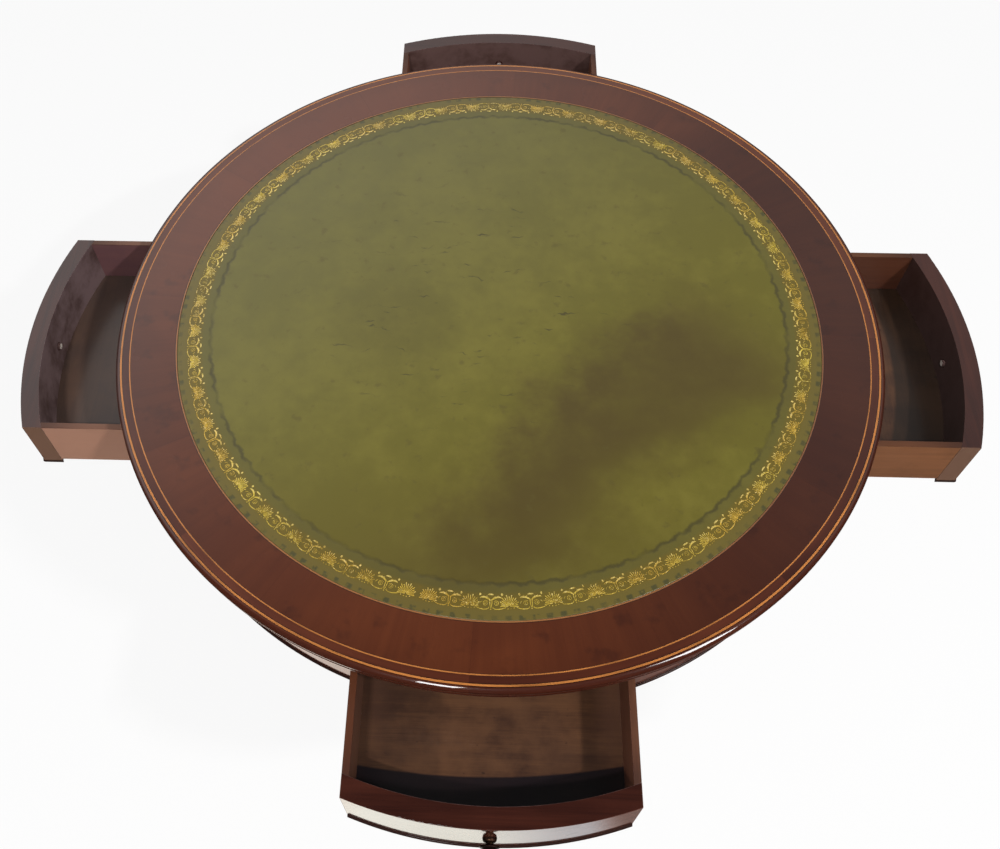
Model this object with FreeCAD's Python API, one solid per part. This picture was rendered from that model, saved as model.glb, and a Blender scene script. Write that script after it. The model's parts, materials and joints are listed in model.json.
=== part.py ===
import FreeCAD, Part
import math
import os

from FreeCAD import Vector

# Round drum desk: a leather-lined top on a shallow drum with four drawers, which turns on a
# pedestal of one column and four swept legs with brass castors.
# Lengths are millimetres. The floor is Z = 0, the column stands on the Z axis, and the front
# drawer faces -Y. The drawers are drawn pulled out by their shown openings.

# Overall sizes
DESK_HEIGHT = 762.0
TOP_DIAMETER = 1071.0

# Clearances and the one overrun that all cuts share
RUN_GAP = 0.3
SIDE_GAP = 0.6
DRAWER_TOP_GAP = 1.0
STOP_GAP = 0.5
PIVOT_GAP = 0.05
OVERRUN = 20.0

# Top: ground board, moulded edge band, crossband, stringing and leather
TOP_THICKNESS = 28.0
INLAY_DEPTH = 2.0
EDGE_BAND_WIDTH = 19.5
OUTER_STRING_WIDTH = 2.5
OUTER_STRING_INSET = 7.2
THIN_STRING_WIDTH = 1.8
CROSSBAND_WIDTH = 62.0
LEATHER_STRING_WIDTH = 2.2
NOSE_DEPTH = 5.8
NOSE_HEIGHT = 15.0
QUIRK_DEPTH = 6.8
QUIRK_HEIGHT = 1.6
REED_DEPTH = 1.9
REED_FOOT = 1.2

# Drum: boards, frieze, drawer cheeks and core
TOP_OVERHANG = 24.5
FRIEZE_THICKNESS = 25.0
BEAD_RADIUS = 2.6
RAIL_HEIGHT = 21.0
LOWER_BOARD_THICKNESS = 18.0
CHEEK_THICKNESS = 12.0
CORE_WIDTH = 110.0

# Drawers
DRAWER_WIDTH = 341.0
FRONT_HEIGHT = 98.5
FRONT_LIP = 10.0
FRONT_EDGE_ROUND = 0.8
SIDE_THICKNESS = 9.0
BACK_THICKNESS = 9.0
BACK_DROP = 8.0
BACK_ROOM = 18.0
BOTTOM_THICKNESS = 5.0
BOTTOM_RISE = 7.0
GROOVE_DEPTH = 4.0
END_DRAWER_OPENING = 162.0
SIDE_DRAWER_OPENING = 174.0
FULL_OPENING = 250.0

# Drawer knob, turned in one piece with its stud, and the nut inside the front
KNOB_HEAD_DIAMETER = 23.5
KNOB_BASE_DIAMETER = 17.0
KNOB_NECK_DIAMETER = 9.0
KNOB_PROJECTION = 14.5
KNOB_BASE_LENGTH = 1.0
KNOB_BULB_LENGTH = 4.2
KNOB_NECK_LENGTH = 0.8
KNOB_FLARE = 2.3
KNOB_BRIM = 1.3
KNOB_STUD_DIAMETER = 5.0
KNOB_STUD_SPARE = 1.0
NUT_WIDTH = 9.0
NUT_THICKNESS = 4.0
NUT_SEAT_DIAMETER = 13.0
NUT_SEAT_DEPTH = 0.6

# Screws that hold the top to the drum, driven from below
TOP_SCREW_DIAMETER = 5.0
TOP_SCREW_HEAD_DIAMETER = 10.0
TOP_SCREW_HEAD_HEIGHT = 4.0
TOP_SCREW_BITE = 15.0
TOP_SCREW_CIRCLE = 620.0
TOP_SCREW_COUNT = 8
TOP_SCREW_SINK = 3.0

# Pedestal: bearer, spindle and turned column
BEARER_DIAMETER = 280.0
BEARER_THICKNESS = 24.0
BEARER_ROUND = 8.0
SPINDLE_DIAMETER = 24.0
SPINDLE_HOLD = 110.0
SPINDLE_REACH = 85.0
BLOCK_BOTTOM = 170.0
BLOCK_HEIGHT = 136.0
BLOCK_DIAMETER = 112.0
BLOCK_STEP = 3.0
RING_DIAMETER = 128.0
RING_HEIGHT = 14.0
COVE_DIAMETER = 76.0
COVE_HEIGHT = 20.0
FILLET_HEIGHT = 3.0
VASE_DIAMETER = 122.0
NECK_DIAMETER = 66.0
NECK_HEIGHT = 40.0
ASTRAGAL_DIAMETER = 84.0
ASTRAGAL_HEIGHT = 10.0
CAPITAL_DIAMETER = 160.0
CAPITAL_HEIGHT = 44.0
CAPITAL_LIP = 8.0
VASE_BELLY_SHARE = 0.34
VASE_LOWER_SHARES = (0.86, 0.42)
VASE_UPPER_SHARES = (0.70, 0.34)
CAPITAL_CURVE_SHARES = (0.22, 0.62)

# Legs: swept sabre legs tenoned into the column's block
LEG_REACH = 378.0
LEG_ROOT_WIDTH = 48.0
LEG_TOE_WIDTH = 36.0
LEG_ROOT_TOP = 296.0
LEG_LAP = 5.0
HIP_REACH = 118.0
HIP_FALL = 20.0
HIP_BULGE = 6.0
TOE_LENGTH = 48.0
TOE_TOP = 86.0
TOE_FALL = 6.0
TOE_BOTTOM = 46.0
SWEEP_SAG_SHARE = 0.14
UNDER_SAG_SHARE = 0.10
LEG_EDGE_ROUND = 3.0
TENON_DEPTH = 22.0
TENON_WIDTH = 18.0
TENON_SHOULDER = 12.0

# Steel cross plate under the block, and its screws
PLATE_THICKNESS = 3.0
PLATE_ARM_WIDTH = 26.0
PLATE_ARM_LENGTH = 90.0
PLATE_END_ROOM = 6.0
PLATE_SCREW_INSET = 14.0
PLATE_SCREW_DIAMETER = 4.0
PLATE_SCREW_LENGTH = 24.0
PLATE_HEAD_DIAMETER = 8.0
PLATE_HEAD_HEIGHT = 2.0

# Castors: cup on the toe, swivelling fork, axle and wheel
CUP_WALL = 3.0
CUP_LENGTH = 44.0
CUP_NOSE_ROUND = 9.0
CUP_BAND_LENGTH = 6.0
CUP_BAND_DEPTH = 1.6
PIVOT_INSET = 22.0
PIVOT_DIAMETER = 8.0
PIVOT_LENGTH = 18.0
FORK_PLATE_DIAMETER = 28.0
FORK_PLATE_THICKNESS = 4.0
FORK_CHEEK_THICKNESS = 3.0
FORK_EAR_DIAMETER = 14.0
FORK_HEEL = 9.0
FORK_TOE = 11.0
WHEEL_DIAMETER = 34.0
WHEEL_WIDTH = 15.0
WHEEL_TREAD_ROUND = 3.0
WHEEL_DISH = 1.6
WHEEL_HUB_DIAMETER = 13.0
WHEEL_RIM_DEPTH = 5.0
WHEEL_TRAIL = 16.0
AXLE_DIAMETER = 5.0
AXLE_HEAD_DIAMETER = 9.0
AXLE_HEAD_LENGTH = 1.5

# Where each drawer and each leg points, in degrees about Z, and how far the drawer is open
SIDES = {"right": 0.0, "back": 90.0, "left": 180.0, "front": 270.0}
SHOWN_OPENING = {
    "right": SIDE_DRAWER_OPENING,
    "back": END_DRAWER_OPENING,
    "left": SIDE_DRAWER_OPENING,
    "front": END_DRAWER_OPENING,
}
QUADRANTS = {"right_back": 0.0, "left_back": 90.0, "left_front": 180.0, "right_front": 270.0}

# Levels and radii that follow from the sizes above
TOP_RADIUS = TOP_DIAMETER / 2
TOP_UNDERSIDE = DESK_HEIGHT - TOP_THICKNESS
INLAY_FLOOR = DESK_HEIGHT - INLAY_DEPTH
BAND_INNER = TOP_RADIUS - EDGE_BAND_WIDTH
CROSSBAND_OUTER = BAND_INNER - THIN_STRING_WIDTH
CROSSBAND_INNER = CROSSBAND_OUTER - CROSSBAND_WIDTH
LEATHER_RADIUS = CROSSBAND_INNER - LEATHER_STRING_WIDTH
FRIEZE_RADIUS = TOP_RADIUS - TOP_OVERHANG
FRIEZE_INNER = FRIEZE_RADIUS - FRIEZE_THICKNESS
RAIL_UNDERSIDE = TOP_UNDERSIDE - RAIL_HEIGHT
DRAWER_TOP = RAIL_UNDERSIDE - DRAWER_TOP_GAP
FRONT_BOTTOM = DRAWER_TOP - FRONT_HEIGHT
SIDE_BOTTOM = FRONT_BOTTOM + FRONT_LIP
BOARD_TOP = SIDE_BOTTOM - RUN_GAP
BOARD_BOTTOM = BOARD_TOP - LOWER_BOARD_THICKNESS
BOARD_RADIUS = FRIEZE_INNER - STOP_GAP
HALF_WIDTH = DRAWER_WIDTH / 2
HALF_OPENING = HALF_WIDTH + SIDE_GAP
BACK_REACH = HALF_OPENING + BACK_ROOM
KNOB_LEVEL = (FRONT_BOTTOM + 2 * BEAD_RADIUS + DRAWER_TOP) / 2
BEARER_BOTTOM = BOARD_BOTTOM - BEARER_THICKNESS
BLOCK_RADIUS = BLOCK_DIAMETER / 2
CUP_BOTTOM = TOE_BOTTOM - CUP_WALL
PIVOT_REACH = LEG_REACH - PIVOT_INSET
FORK_TOP = CUP_BOTTOM - RUN_GAP
FORK_PLATE_BOTTOM = FORK_TOP - FORK_PLATE_THICKNESS
AXLE_REACH = PIVOT_REACH + WHEEL_TRAIL
AXLE_LEVEL = WHEEL_DIAMETER / 2


def disc(radius, low, high):
    """Upright cylinder on the Z axis."""
    return Part.makeCylinder(radius, high - low, Vector(0, 0, low))


def ring(inner, outer, low, high):
    """Flat ring about the Z axis."""
    return disc(outer, low, high).cut(disc(inner, low, high))


def slab(x, y, z):
    """Box from three (low, high) pairs."""
    corner = Vector(x[0], y[0], z[0])
    return Part.makeBox(x[1] - x[0], y[1] - y[0], z[1] - z[0], corner)


def turned_to(shape, angle):
    """Copy of a shape, turned about the Z axis."""
    copy = shape.copy()
    copy.rotate(Vector(0, 0, 0), Vector(0, 0, 1), angle)
    return copy


def moved(shape, x, y, z):
    """Copy of a shape, moved."""
    copy = shape.copy()
    copy.translate(Vector(x, y, z))
    return copy


def outline(start, steps):
    """Wire in the XZ plane, closed by a straight line. A step is a corner, or (arc point, arc end)."""
    edges = []
    here = start
    for step in [*steps, start]:
        if isinstance(step[0], tuple):
            via, there = step
            edges.append(Part.Arc(flat(here), flat(via), flat(there)).toShape())
        else:
            there = step
            edges.append(Part.makeLine(flat(here), flat(there)))
        here = there
    return Part.Wire(edges)


def flat(point):
    """Point of the XZ plane."""
    return Vector(point[0], 0, point[1])


def turned(wire):
    """Solid turned about the Z axis from an outline of (radius, height)."""
    return Part.Face(wire).revolve(Vector(0, 0, 0), Vector(0, 0, 1), 360)


def plank(wire, width):
    """Solid of an XZ outline, with its width centred on Y."""
    face = Part.Face(wire)
    face.translate(Vector(0, -width / 2, 0))
    return face.extrude(Vector(0, width, 0))


def sagged(start, end, share):
    """Point beside the middle of a chord, below it by a share of its length."""
    run = end[0] - start[0]
    fall = end[1] - start[1]
    middle = ((start[0] + end[0]) / 2, (start[1] + end[1]) / 2)
    return (middle[0] + fall * share, middle[1] - run * share)


def lying_x(radius, length, start, level):
    """Cylinder along X on the Y = 0 plane."""
    return Part.makeCylinder(radius, length, Vector(start, 0, level), Vector(1, 0, 0))


# Top

def make_top_board():
    return disc(BAND_INNER, TOP_UNDERSIDE, INLAY_FLOOR)


def make_edge_band():
    """Solid lipping with a rounded nose over a smaller reed, and a groove for the outer string."""
    nose_start = TOP_RADIUS - NOSE_DEPTH
    nose_end = DESK_HEIGHT - NOSE_HEIGHT
    quirk = TOP_RADIUS - QUIRK_DEPTH
    reed_top = nose_end - QUIRK_HEIGHT
    reed_middle = (reed_top + TOP_UNDERSIDE + REED_FOOT) / 2
    nose = outline(
        (BAND_INNER, TOP_UNDERSIDE),
        [
            (BAND_INNER, DESK_HEIGHT),
            (nose_start, DESK_HEIGHT),
            ((TOP_RADIUS, (DESK_HEIGHT + nose_end) / 2), (nose_start, nose_end)),
            (quirk, nose_end),
            (quirk, reed_top),
            ((TOP_RADIUS - REED_DEPTH, reed_middle), (quirk, TOP_UNDERSIDE + REED_FOOT)),
            (quirk, TOP_UNDERSIDE),
        ],
    )
    return turned(nose).cut(make_outer_string())


def make_outer_string():
    outer = TOP_RADIUS - OUTER_STRING_INSET
    return ring(outer - OUTER_STRING_WIDTH, outer, INLAY_FLOOR, DESK_HEIGHT)


def make_stringing():
    """The three pale inlaid lines, one solid each."""
    thin = ring(CROSSBAND_OUTER, BAND_INNER, INLAY_FLOOR, DESK_HEIGHT)
    inner = ring(LEATHER_RADIUS, CROSSBAND_INNER, INLAY_FLOOR, DESK_HEIGHT)
    return [make_outer_string(), thin, inner]


def make_crossband():
    return ring(CROSSBAND_INNER, CROSSBAND_OUTER, INLAY_FLOOR, DESK_HEIGHT)


def make_leather():
    return disc(LEATHER_RADIUS, INLAY_FLOOR, DESK_HEIGHT)


def make_top_screws():
    """Screws up through the drum's upper board, their heads sunk in its underside."""
    head_bottom = RAIL_UNDERSIDE + TOP_SCREW_SINK
    head_top = head_bottom + TOP_SCREW_HEAD_HEIGHT
    head = disc(TOP_SCREW_HEAD_DIAMETER / 2, head_bottom, head_top)
    shank = disc(TOP_SCREW_DIAMETER / 2, head_top, TOP_UNDERSIDE + TOP_SCREW_BITE)
    screw = moved(head.fuse(shank), TOP_SCREW_CIRCLE / 2, 0, 0)
    step = 360 / TOP_SCREW_COUNT
    return [turned_to(screw, step * (count + 0.5)) for count in range(TOP_SCREW_COUNT)]


def top_screw_recesses():
    """The holes that let a driver reach the screw heads."""
    recess = disc(TOP_SCREW_HEAD_DIAMETER / 2, RAIL_UNDERSIDE - OVERRUN, RAIL_UNDERSIDE + TOP_SCREW_SINK)
    recess = moved(recess, TOP_SCREW_CIRCLE / 2, 0, 0)
    step = 360 / TOP_SCREW_COUNT
    return [turned_to(recess, step * (count + 0.5)) for count in range(TOP_SCREW_COUNT)]


# Drum

def make_wall(high):
    """Full ring of the drum's wall with its bottom bead, up to a level."""
    bead_top = FRONT_BOTTOM + 2 * BEAD_RADIUS
    bead_middle = (FRIEZE_RADIUS + BEAD_RADIUS, FRONT_BOTTOM + BEAD_RADIUS)
    wall = outline(
        (FRIEZE_INNER, FRONT_BOTTOM),
        [
            (FRIEZE_RADIUS, FRONT_BOTTOM),
            (bead_middle, (FRIEZE_RADIUS, bead_top)),
            (FRIEZE_RADIUS, high),
            (FRIEZE_INNER, high),
        ],
    )
    return turned(wall)


def make_frieze_panel(angle):
    """Curved panel that closes one quadrant between two drawers."""
    far = TOP_RADIUS
    quadrant = slab((HALF_OPENING, far), (HALF_OPENING, far), (FRONT_BOTTOM - OVERRUN, DESK_HEIGHT))
    return turned_to(make_wall(TOP_UNDERSIDE).common(quadrant), angle)


def make_upper_board():
    """Board under the top, with a rail's width carried out over each drawer."""
    board = disc(FRIEZE_INNER, RAIL_UNDERSIDE, TOP_UNDERSIDE)
    rim = disc(FRIEZE_RADIUS, RAIL_UNDERSIDE, TOP_UNDERSIDE)
    span = (-HALF_OPENING, HALF_OPENING)
    far = (-TOP_RADIUS, TOP_RADIUS)
    tall = (RAIL_UNDERSIDE, TOP_UNDERSIDE)
    board = board.fuse([rim.common(slab(span, far, tall)), rim.common(slab(far, span, tall))])
    return board.removeSplitter().cut(make_top_screws() + top_screw_recesses())


def make_lower_board():
    """Board that the drawers run on, bored for the spindle."""
    board = disc(BOARD_RADIUS, BOARD_BOTTOM, BOARD_TOP)
    return board.cut(spindle_bore())


def make_cheeks():
    """Pairs of upright boards in each quadrant, which guide the drawers on both sides."""
    outer = HALF_OPENING + CHEEK_THICKNESS
    tall = (BOARD_TOP, RAIL_UNDERSIDE)
    long = slab((HALF_OPENING, outer), (HALF_OPENING, BOARD_RADIUS), tall)
    short = slab((outer, BOARD_RADIUS), (HALF_OPENING, outer), tall)
    inside = disc(BOARD_RADIUS, *tall)
    pair = [long.common(inside), short.common(inside)]
    return [turned_to(cheek, angle) for angle in QUADRANTS.values() for cheek in pair]


def make_core_block():
    """Square post between the boards, bored for the spindle."""
    half = CORE_WIDTH / 2
    post = slab((-half, half), (-half, half), (BOARD_TOP, RAIL_UNDERSIDE))
    return post.cut(spindle_bore())


def spindle_bore():
    radius = SPINDLE_DIAMETER / 2 + PIVOT_GAP
    return disc(radius, BOARD_BOTTOM - OVERRUN, BOARD_BOTTOM + SPINDLE_REACH + RUN_GAP)


# Drawers, drawn closed and facing +X

def make_drawer_bottom():
    """Thin panel in the grooves of the sides and the front."""
    half = HALF_WIDTH - SIDE_THICKNESS + GROOVE_DEPTH
    low = SIDE_BOTTOM + BOTTOM_RISE
    tall = (low, low + BOTTOM_THICKNESS)
    panel = slab((BACK_REACH, FRIEZE_RADIUS), (-half, half), tall)
    return panel.common(disc(FRIEZE_INNER + GROOVE_DEPTH, *tall))


def make_drawer_front(bottom):
    """Bowed front with its bead, grooved for the bottom and drilled for the knob."""
    block = slab((0, TOP_RADIUS), (-HALF_WIDTH, HALF_WIDTH), (FRONT_BOTTOM - OVERRUN, DRAWER_TOP))
    front = make_wall(DRAWER_TOP).common(block)
    seat = lying_x(NUT_SEAT_DIAMETER / 2, OVERRUN, FRIEZE_INNER + NUT_SEAT_DEPTH - OVERRUN, KNOB_LEVEL)
    through = FRIEZE_THICKNESS + 2 * OVERRUN
    hole = lying_x(KNOB_STUD_DIAMETER / 2, through, FRIEZE_INNER - OVERRUN, KNOB_LEVEL)
    return eased(front).cut([bottom, seat, hole])


def eased(front):
    """Front with its top outer arris rounded a little."""
    middle = Vector(FRIEZE_RADIUS, 0, DRAWER_TOP)
    rim = min(front.Edges, key=lambda edge: edge.distToShape(Part.Vertex(middle))[0])
    return front.makeFillet(FRONT_EDGE_ROUND, [rim])


def make_drawer_side(hand, bottom):
    """Side board, +1 on the +Y side and -1 on the other, fitted to the front's hollow face."""
    edges = sorted((hand * HALF_WIDTH, hand * (HALF_WIDTH - SIDE_THICKNESS)))
    board = slab((BACK_REACH, FRIEZE_INNER), tuple(edges), (SIDE_BOTTOM, DRAWER_TOP))
    return board.common(disc(FRIEZE_INNER, SIDE_BOTTOM, DRAWER_TOP)).cut(bottom)


def make_drawer_back():
    """Back board between the sides, standing on the bottom panel."""
    half = HALF_WIDTH - SIDE_THICKNESS
    low = SIDE_BOTTOM + BOTTOM_RISE + BOTTOM_THICKNESS
    return slab((BACK_REACH, BACK_REACH + BACK_THICKNESS), (-half, half), (low, DRAWER_TOP - BACK_DROP))


def make_knob():
    """Turned knob with its stud, and the hexagon nut that holds it."""
    base = KNOB_BASE_DIAMETER / 2
    neck = KNOB_NECK_DIAMETER / 2
    head = KNOB_HEAD_DIAMETER / 2
    stud = KNOB_STUD_DIAMETER / 2
    seat = NUT_SEAT_DEPTH - FRIEZE_THICKNESS
    tip = seat - NUT_THICKNESS - KNOB_STUD_SPARE
    neck_start = KNOB_BASE_LENGTH + KNOB_BULB_LENGTH
    flare_start = neck_start + KNOB_NECK_LENGTH
    brim_start = flare_start + KNOB_FLARE
    brim_end = brim_start + 2 * KNOB_BRIM
    diagonal = math.sqrt(0.5)
    profile = outline(
        (0, tip),
        [
            (stud, tip),
            (stud, 0),
            (base, 0),
            (base, KNOB_BASE_LENGTH),
            (
                (neck + (base - neck) * diagonal, KNOB_BASE_LENGTH + KNOB_BULB_LENGTH * diagonal),
                (neck, neck_start),
            ),
            (neck, flare_start),
            (
                (neck + KNOB_FLARE * (1 - diagonal), flare_start + KNOB_FLARE * diagonal),
                (neck + KNOB_FLARE, brim_start),
            ),
            (head - KNOB_BRIM, brim_start),
            ((head, brim_start + KNOB_BRIM), (head - KNOB_BRIM, brim_end)),
            (dome_point(head - KNOB_BRIM, brim_end, KNOB_PROJECTION), (0, KNOB_PROJECTION)),
        ],
    )
    return [laid_out(turned(profile)), laid_out(make_nut(seat))]


def dome_point(radius, low, high):
    """Point halfway up a dome of a sphere that stands on a circle and ends on the axis."""
    rise = high - low
    sphere = (radius * radius + rise * rise) / (2 * rise)
    angle = math.asin(radius / sphere) / 2
    return (sphere * math.sin(angle), high - sphere + sphere * math.cos(angle))


def make_nut(seat):
    """Hexagon nut whose outer face lies at a height on Z, bored for the stud."""
    reach = NUT_WIDTH / 2 / math.cos(math.pi / 6)
    corners = [
        Vector(reach * math.cos(math.pi / 3 * k), reach * math.sin(math.pi / 3 * k), seat - NUT_THICKNESS)
        for k in range(7)
    ]
    prism = Part.Face(Part.makePolygon(corners)).extrude(Vector(0, 0, NUT_THICKNESS))
    return prism.cut(disc(KNOB_STUD_DIAMETER / 2, seat - OVERRUN, OVERRUN)).Solids[0]


def laid_out(shape):
    """A shape drawn about Z, turned to point along +X at the knob's place on a closed front."""
    copy = shape.copy()
    copy.rotate(Vector(0, 0, 0), Vector(0, 1, 0), 90)
    copy.translate(Vector(FRIEZE_RADIUS, 0, KNOB_LEVEL))
    return copy


def make_drawer():
    """The pieces of one closed drawer, by name."""
    bottom = make_drawer_bottom()
    return {
        "front": [make_drawer_front(bottom)],
        "left_side": [make_drawer_side(1, bottom)],
        "right_side": [make_drawer_side(-1, bottom)],
        "back": [make_drawer_back()],
        "bottom": [bottom],
        "knob": make_knob(),
    }


# Pedestal

def make_bearer():
    """Round block under the drum, with a rounded lower edge, bored for the spindle."""
    radius = BEARER_DIAMETER / 2
    round_start = radius - BEARER_ROUND
    corner = BEARER_ROUND * (1 - math.sqrt(0.5))
    profile = outline(
        (SPINDLE_DIAMETER / 2, BEARER_BOTTOM),
        [
            (round_start, BEARER_BOTTOM),
            ((radius - corner, BEARER_BOTTOM + corner), (radius, BEARER_BOTTOM + BEARER_ROUND)),
            (radius, BOARD_BOTTOM),
            (SPINDLE_DIAMETER / 2, BOARD_BOTTOM),
        ],
    )
    return turned(profile)


def make_spindle():
    return disc(SPINDLE_DIAMETER / 2, BEARER_BOTTOM - SPINDLE_HOLD, BOARD_BOTTOM + SPINDLE_REACH)


def make_column(legs, screws):
    """Turned column: leg block, ring, cove, vase, neck ring and flared capital."""
    block_top = BLOCK_BOTTOM + BLOCK_HEIGHT
    ring_top = block_top + RING_HEIGHT
    cove_top = ring_top + COVE_HEIGHT
    vase_start = cove_top + FILLET_HEIGHT
    astragal_top = BEARER_BOTTOM - CAPITAL_HEIGHT
    astragal_bottom = astragal_top - ASTRAGAL_HEIGHT
    neck_bottom = astragal_bottom - NECK_HEIGHT
    cove = COVE_DIAMETER / 2
    vase = VASE_DIAMETER / 2
    neck = NECK_DIAMETER / 2
    capital = CAPITAL_DIAMETER / 2
    shoulder = BLOCK_RADIUS - BLOCK_STEP
    vase_height = neck_bottom - vase_start
    belly = vase_start + vase_height * VASE_BELLY_SHARE
    lower = (
        cove + (vase - cove) * VASE_LOWER_SHARES[0],
        vase_start + (belly - vase_start) * VASE_LOWER_SHARES[1],
    )
    upper = (
        neck + (vase - neck) * VASE_UPPER_SHARES[0],
        belly + (neck_bottom - belly) * VASE_UPPER_SHARES[1],
    )
    lip = BEARER_BOTTOM - CAPITAL_LIP
    flare = (
        neck + (capital - neck) * CAPITAL_CURVE_SHARES[0],
        astragal_top + (lip - astragal_top) * CAPITAL_CURVE_SHARES[1],
    )
    profile = outline(
        (0, BLOCK_BOTTOM),
        [
            (BLOCK_RADIUS, BLOCK_BOTTOM),
            (BLOCK_RADIUS, block_top),
            (shoulder, block_top),
            ((RING_DIAMETER / 2, (block_top + ring_top) / 2), (shoulder, ring_top)),
            ((cove, (ring_top + cove_top) / 2), (cove + FILLET_HEIGHT, cove_top)),
            (cove + FILLET_HEIGHT, vase_start),
            (lower, (vase, belly)),
            (upper, (neck, neck_bottom)),
            (neck, astragal_bottom),
            ((ASTRAGAL_DIAMETER / 2, (astragal_bottom + astragal_top) / 2), (neck, astragal_top)),
            (flare, (capital, lip)),
            (capital, BEARER_BOTTOM),
            (0, BEARER_BOTTOM),
        ],
    )
    return turned(profile).cut(legs + screws + [make_spindle()])


def leg_outline():
    """Side view of one leg: hip, hollow sweep, straight toe and hollow underside."""
    root = BLOCK_RADIUS - LEG_LAP
    top = (root, LEG_ROOT_TOP)
    hip = (HIP_REACH, LEG_ROOT_TOP - HIP_FALL)
    hip_via = ((root + HIP_REACH) / 2, LEG_ROOT_TOP - HIP_FALL / 2 + HIP_BULGE)
    toe = (LEG_REACH - TOE_LENGTH, TOE_TOP)
    heel = (LEG_REACH - TOE_LENGTH, TOE_BOTTOM)
    flat_end = (PLATE_ARM_LENGTH + PLATE_END_ROOM, BLOCK_BOTTOM)
    return outline(
        top,
        [
            (hip_via, hip),
            (sagged(hip, toe, SWEEP_SAG_SHARE), toe),
            (LEG_REACH, TOE_TOP - TOE_FALL),
            (LEG_REACH, TOE_BOTTOM),
            heel,
            (sagged(flat_end, heel, UNDER_SAG_SHARE), flat_end),
            (root, BLOCK_BOTTOM),
        ],
    )


def make_leg():
    """Leg towards +X, narrowing to its toe, with a tenon for the column's block."""
    root = LEG_ROOT_WIDTH / 2
    toe = LEG_TOE_WIDTH / 2
    corners = [(0, -root), (LEG_REACH, -toe), (LEG_REACH, toe), (0, root), (0, -root)]
    plan = Part.Face(Part.makePolygon([Vector(x, y, 0) for x, y in corners]))
    leg = plank(leg_outline(), LEG_ROOT_WIDTH).common(plan.extrude(Vector(0, 0, DESK_HEIGHT)))
    leg = leg.makeFillet(LEG_EDGE_ROUND, top_arrises(leg))
    leg = leg.cut(disc(BLOCK_RADIUS, BLOCK_BOTTOM - OVERRUN, DESK_HEIGHT))
    half = TENON_WIDTH / 2
    tall = (BLOCK_BOTTOM + TENON_SHOULDER, LEG_ROOT_TOP - TENON_SHOULDER)
    tenon = slab((BLOCK_RADIUS - TENON_DEPTH, BLOCK_RADIUS + LEG_LAP), (-half, half), tall)
    return leg.fuse(tenon).removeSplitter()


def top_arrises(leg):
    """Long curved edges along both sides of a leg's hollow upper face."""
    return [
        edge
        for edge in leg.Edges
        if edge.BoundBox.XMin > HIP_REACH - LEG_EDGE_ROUND
        and edge.BoundBox.XMax < LEG_REACH - TOE_LENGTH + LEG_EDGE_ROUND
        and edge.BoundBox.ZMin > TOE_TOP - LEG_EDGE_ROUND
        and edge.BoundBox.XLength > TOE_LENGTH
    ]


def make_leg_plate():
    """Flat steel cross under the block and the leg roots."""
    half = PLATE_ARM_WIDTH / 2
    tall = (BLOCK_BOTTOM - PLATE_THICKNESS, BLOCK_BOTTOM)
    arm = slab((-PLATE_ARM_LENGTH, PLATE_ARM_LENGTH), (-half, half), tall)
    return arm.fuse(turned_to(arm, 90)).removeSplitter()


def make_plate_screws():
    """One screw into each leg root and one into the column, heads on the plate."""
    head_top = BLOCK_BOTTOM - PLATE_THICKNESS
    head = disc(PLATE_HEAD_DIAMETER / 2, head_top - PLATE_HEAD_HEIGHT, head_top)
    shank = disc(PLATE_SCREW_DIAMETER / 2, head_top, head_top + PLATE_SCREW_LENGTH)
    screw = head.fuse(shank)
    outer = moved(screw, PLATE_ARM_LENGTH - PLATE_SCREW_INSET, 0, 0)
    return [screw] + [turned_to(outer, angle) for angle in SIDES.values()]


# Castors, drawn towards +X

def make_cup(leg):
    """Brass box over a leg's toe, with a band at its mouth and a bore for the fork's pin."""
    start = LEG_REACH - CUP_LENGTH
    end = LEG_REACH + CUP_WALL
    slope = TOE_FALL / TOE_LENGTH
    top_start = TOE_TOP + CUP_WALL - slope * (TOE_LENGTH - CUP_LENGTH)
    top_end = top_start - slope * (end - start)
    corners = [(start, CUP_BOTTOM), (end, CUP_BOTTOM), (end, top_end), (start, top_start)]
    toe_width = LEG_TOE_WIDTH + (LEG_ROOT_WIDTH - LEG_TOE_WIDTH) * CUP_LENGTH / LEG_REACH
    width = toe_width + 2 * CUP_WALL
    body = plank(outline(corners[0], corners[1:]), width)
    nose = [edge for edge in body.Edges if edge.BoundBox.XMin > end - CUP_WALL]
    nose = [edge for edge in nose if edge.BoundBox.ZLength > CUP_WALL]
    body = body.makeFillet(CUP_NOSE_ROUND, nose)
    band_end = start + CUP_BAND_LENGTH
    band_top = top_start + CUP_BAND_DEPTH
    band_corners = [(start, CUP_BOTTOM), (band_end, CUP_BOTTOM), (band_end, band_top), (start, band_top)]
    band = plank(outline(band_corners[0], band_corners[1:]), width + 2 * CUP_BAND_DEPTH)
    return body.fuse(band).removeSplitter().cut([leg, pivot_bore()])


def pivot_bore():
    """Hole for a fork's pin, through the cup and up into the toe."""
    hole = disc(PIVOT_DIAMETER / 2 + PIVOT_GAP, CUP_BOTTOM - OVERRUN, FORK_TOP + PIVOT_LENGTH + RUN_GAP)
    return moved(hole, PIVOT_REACH, 0, 0)


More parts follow.
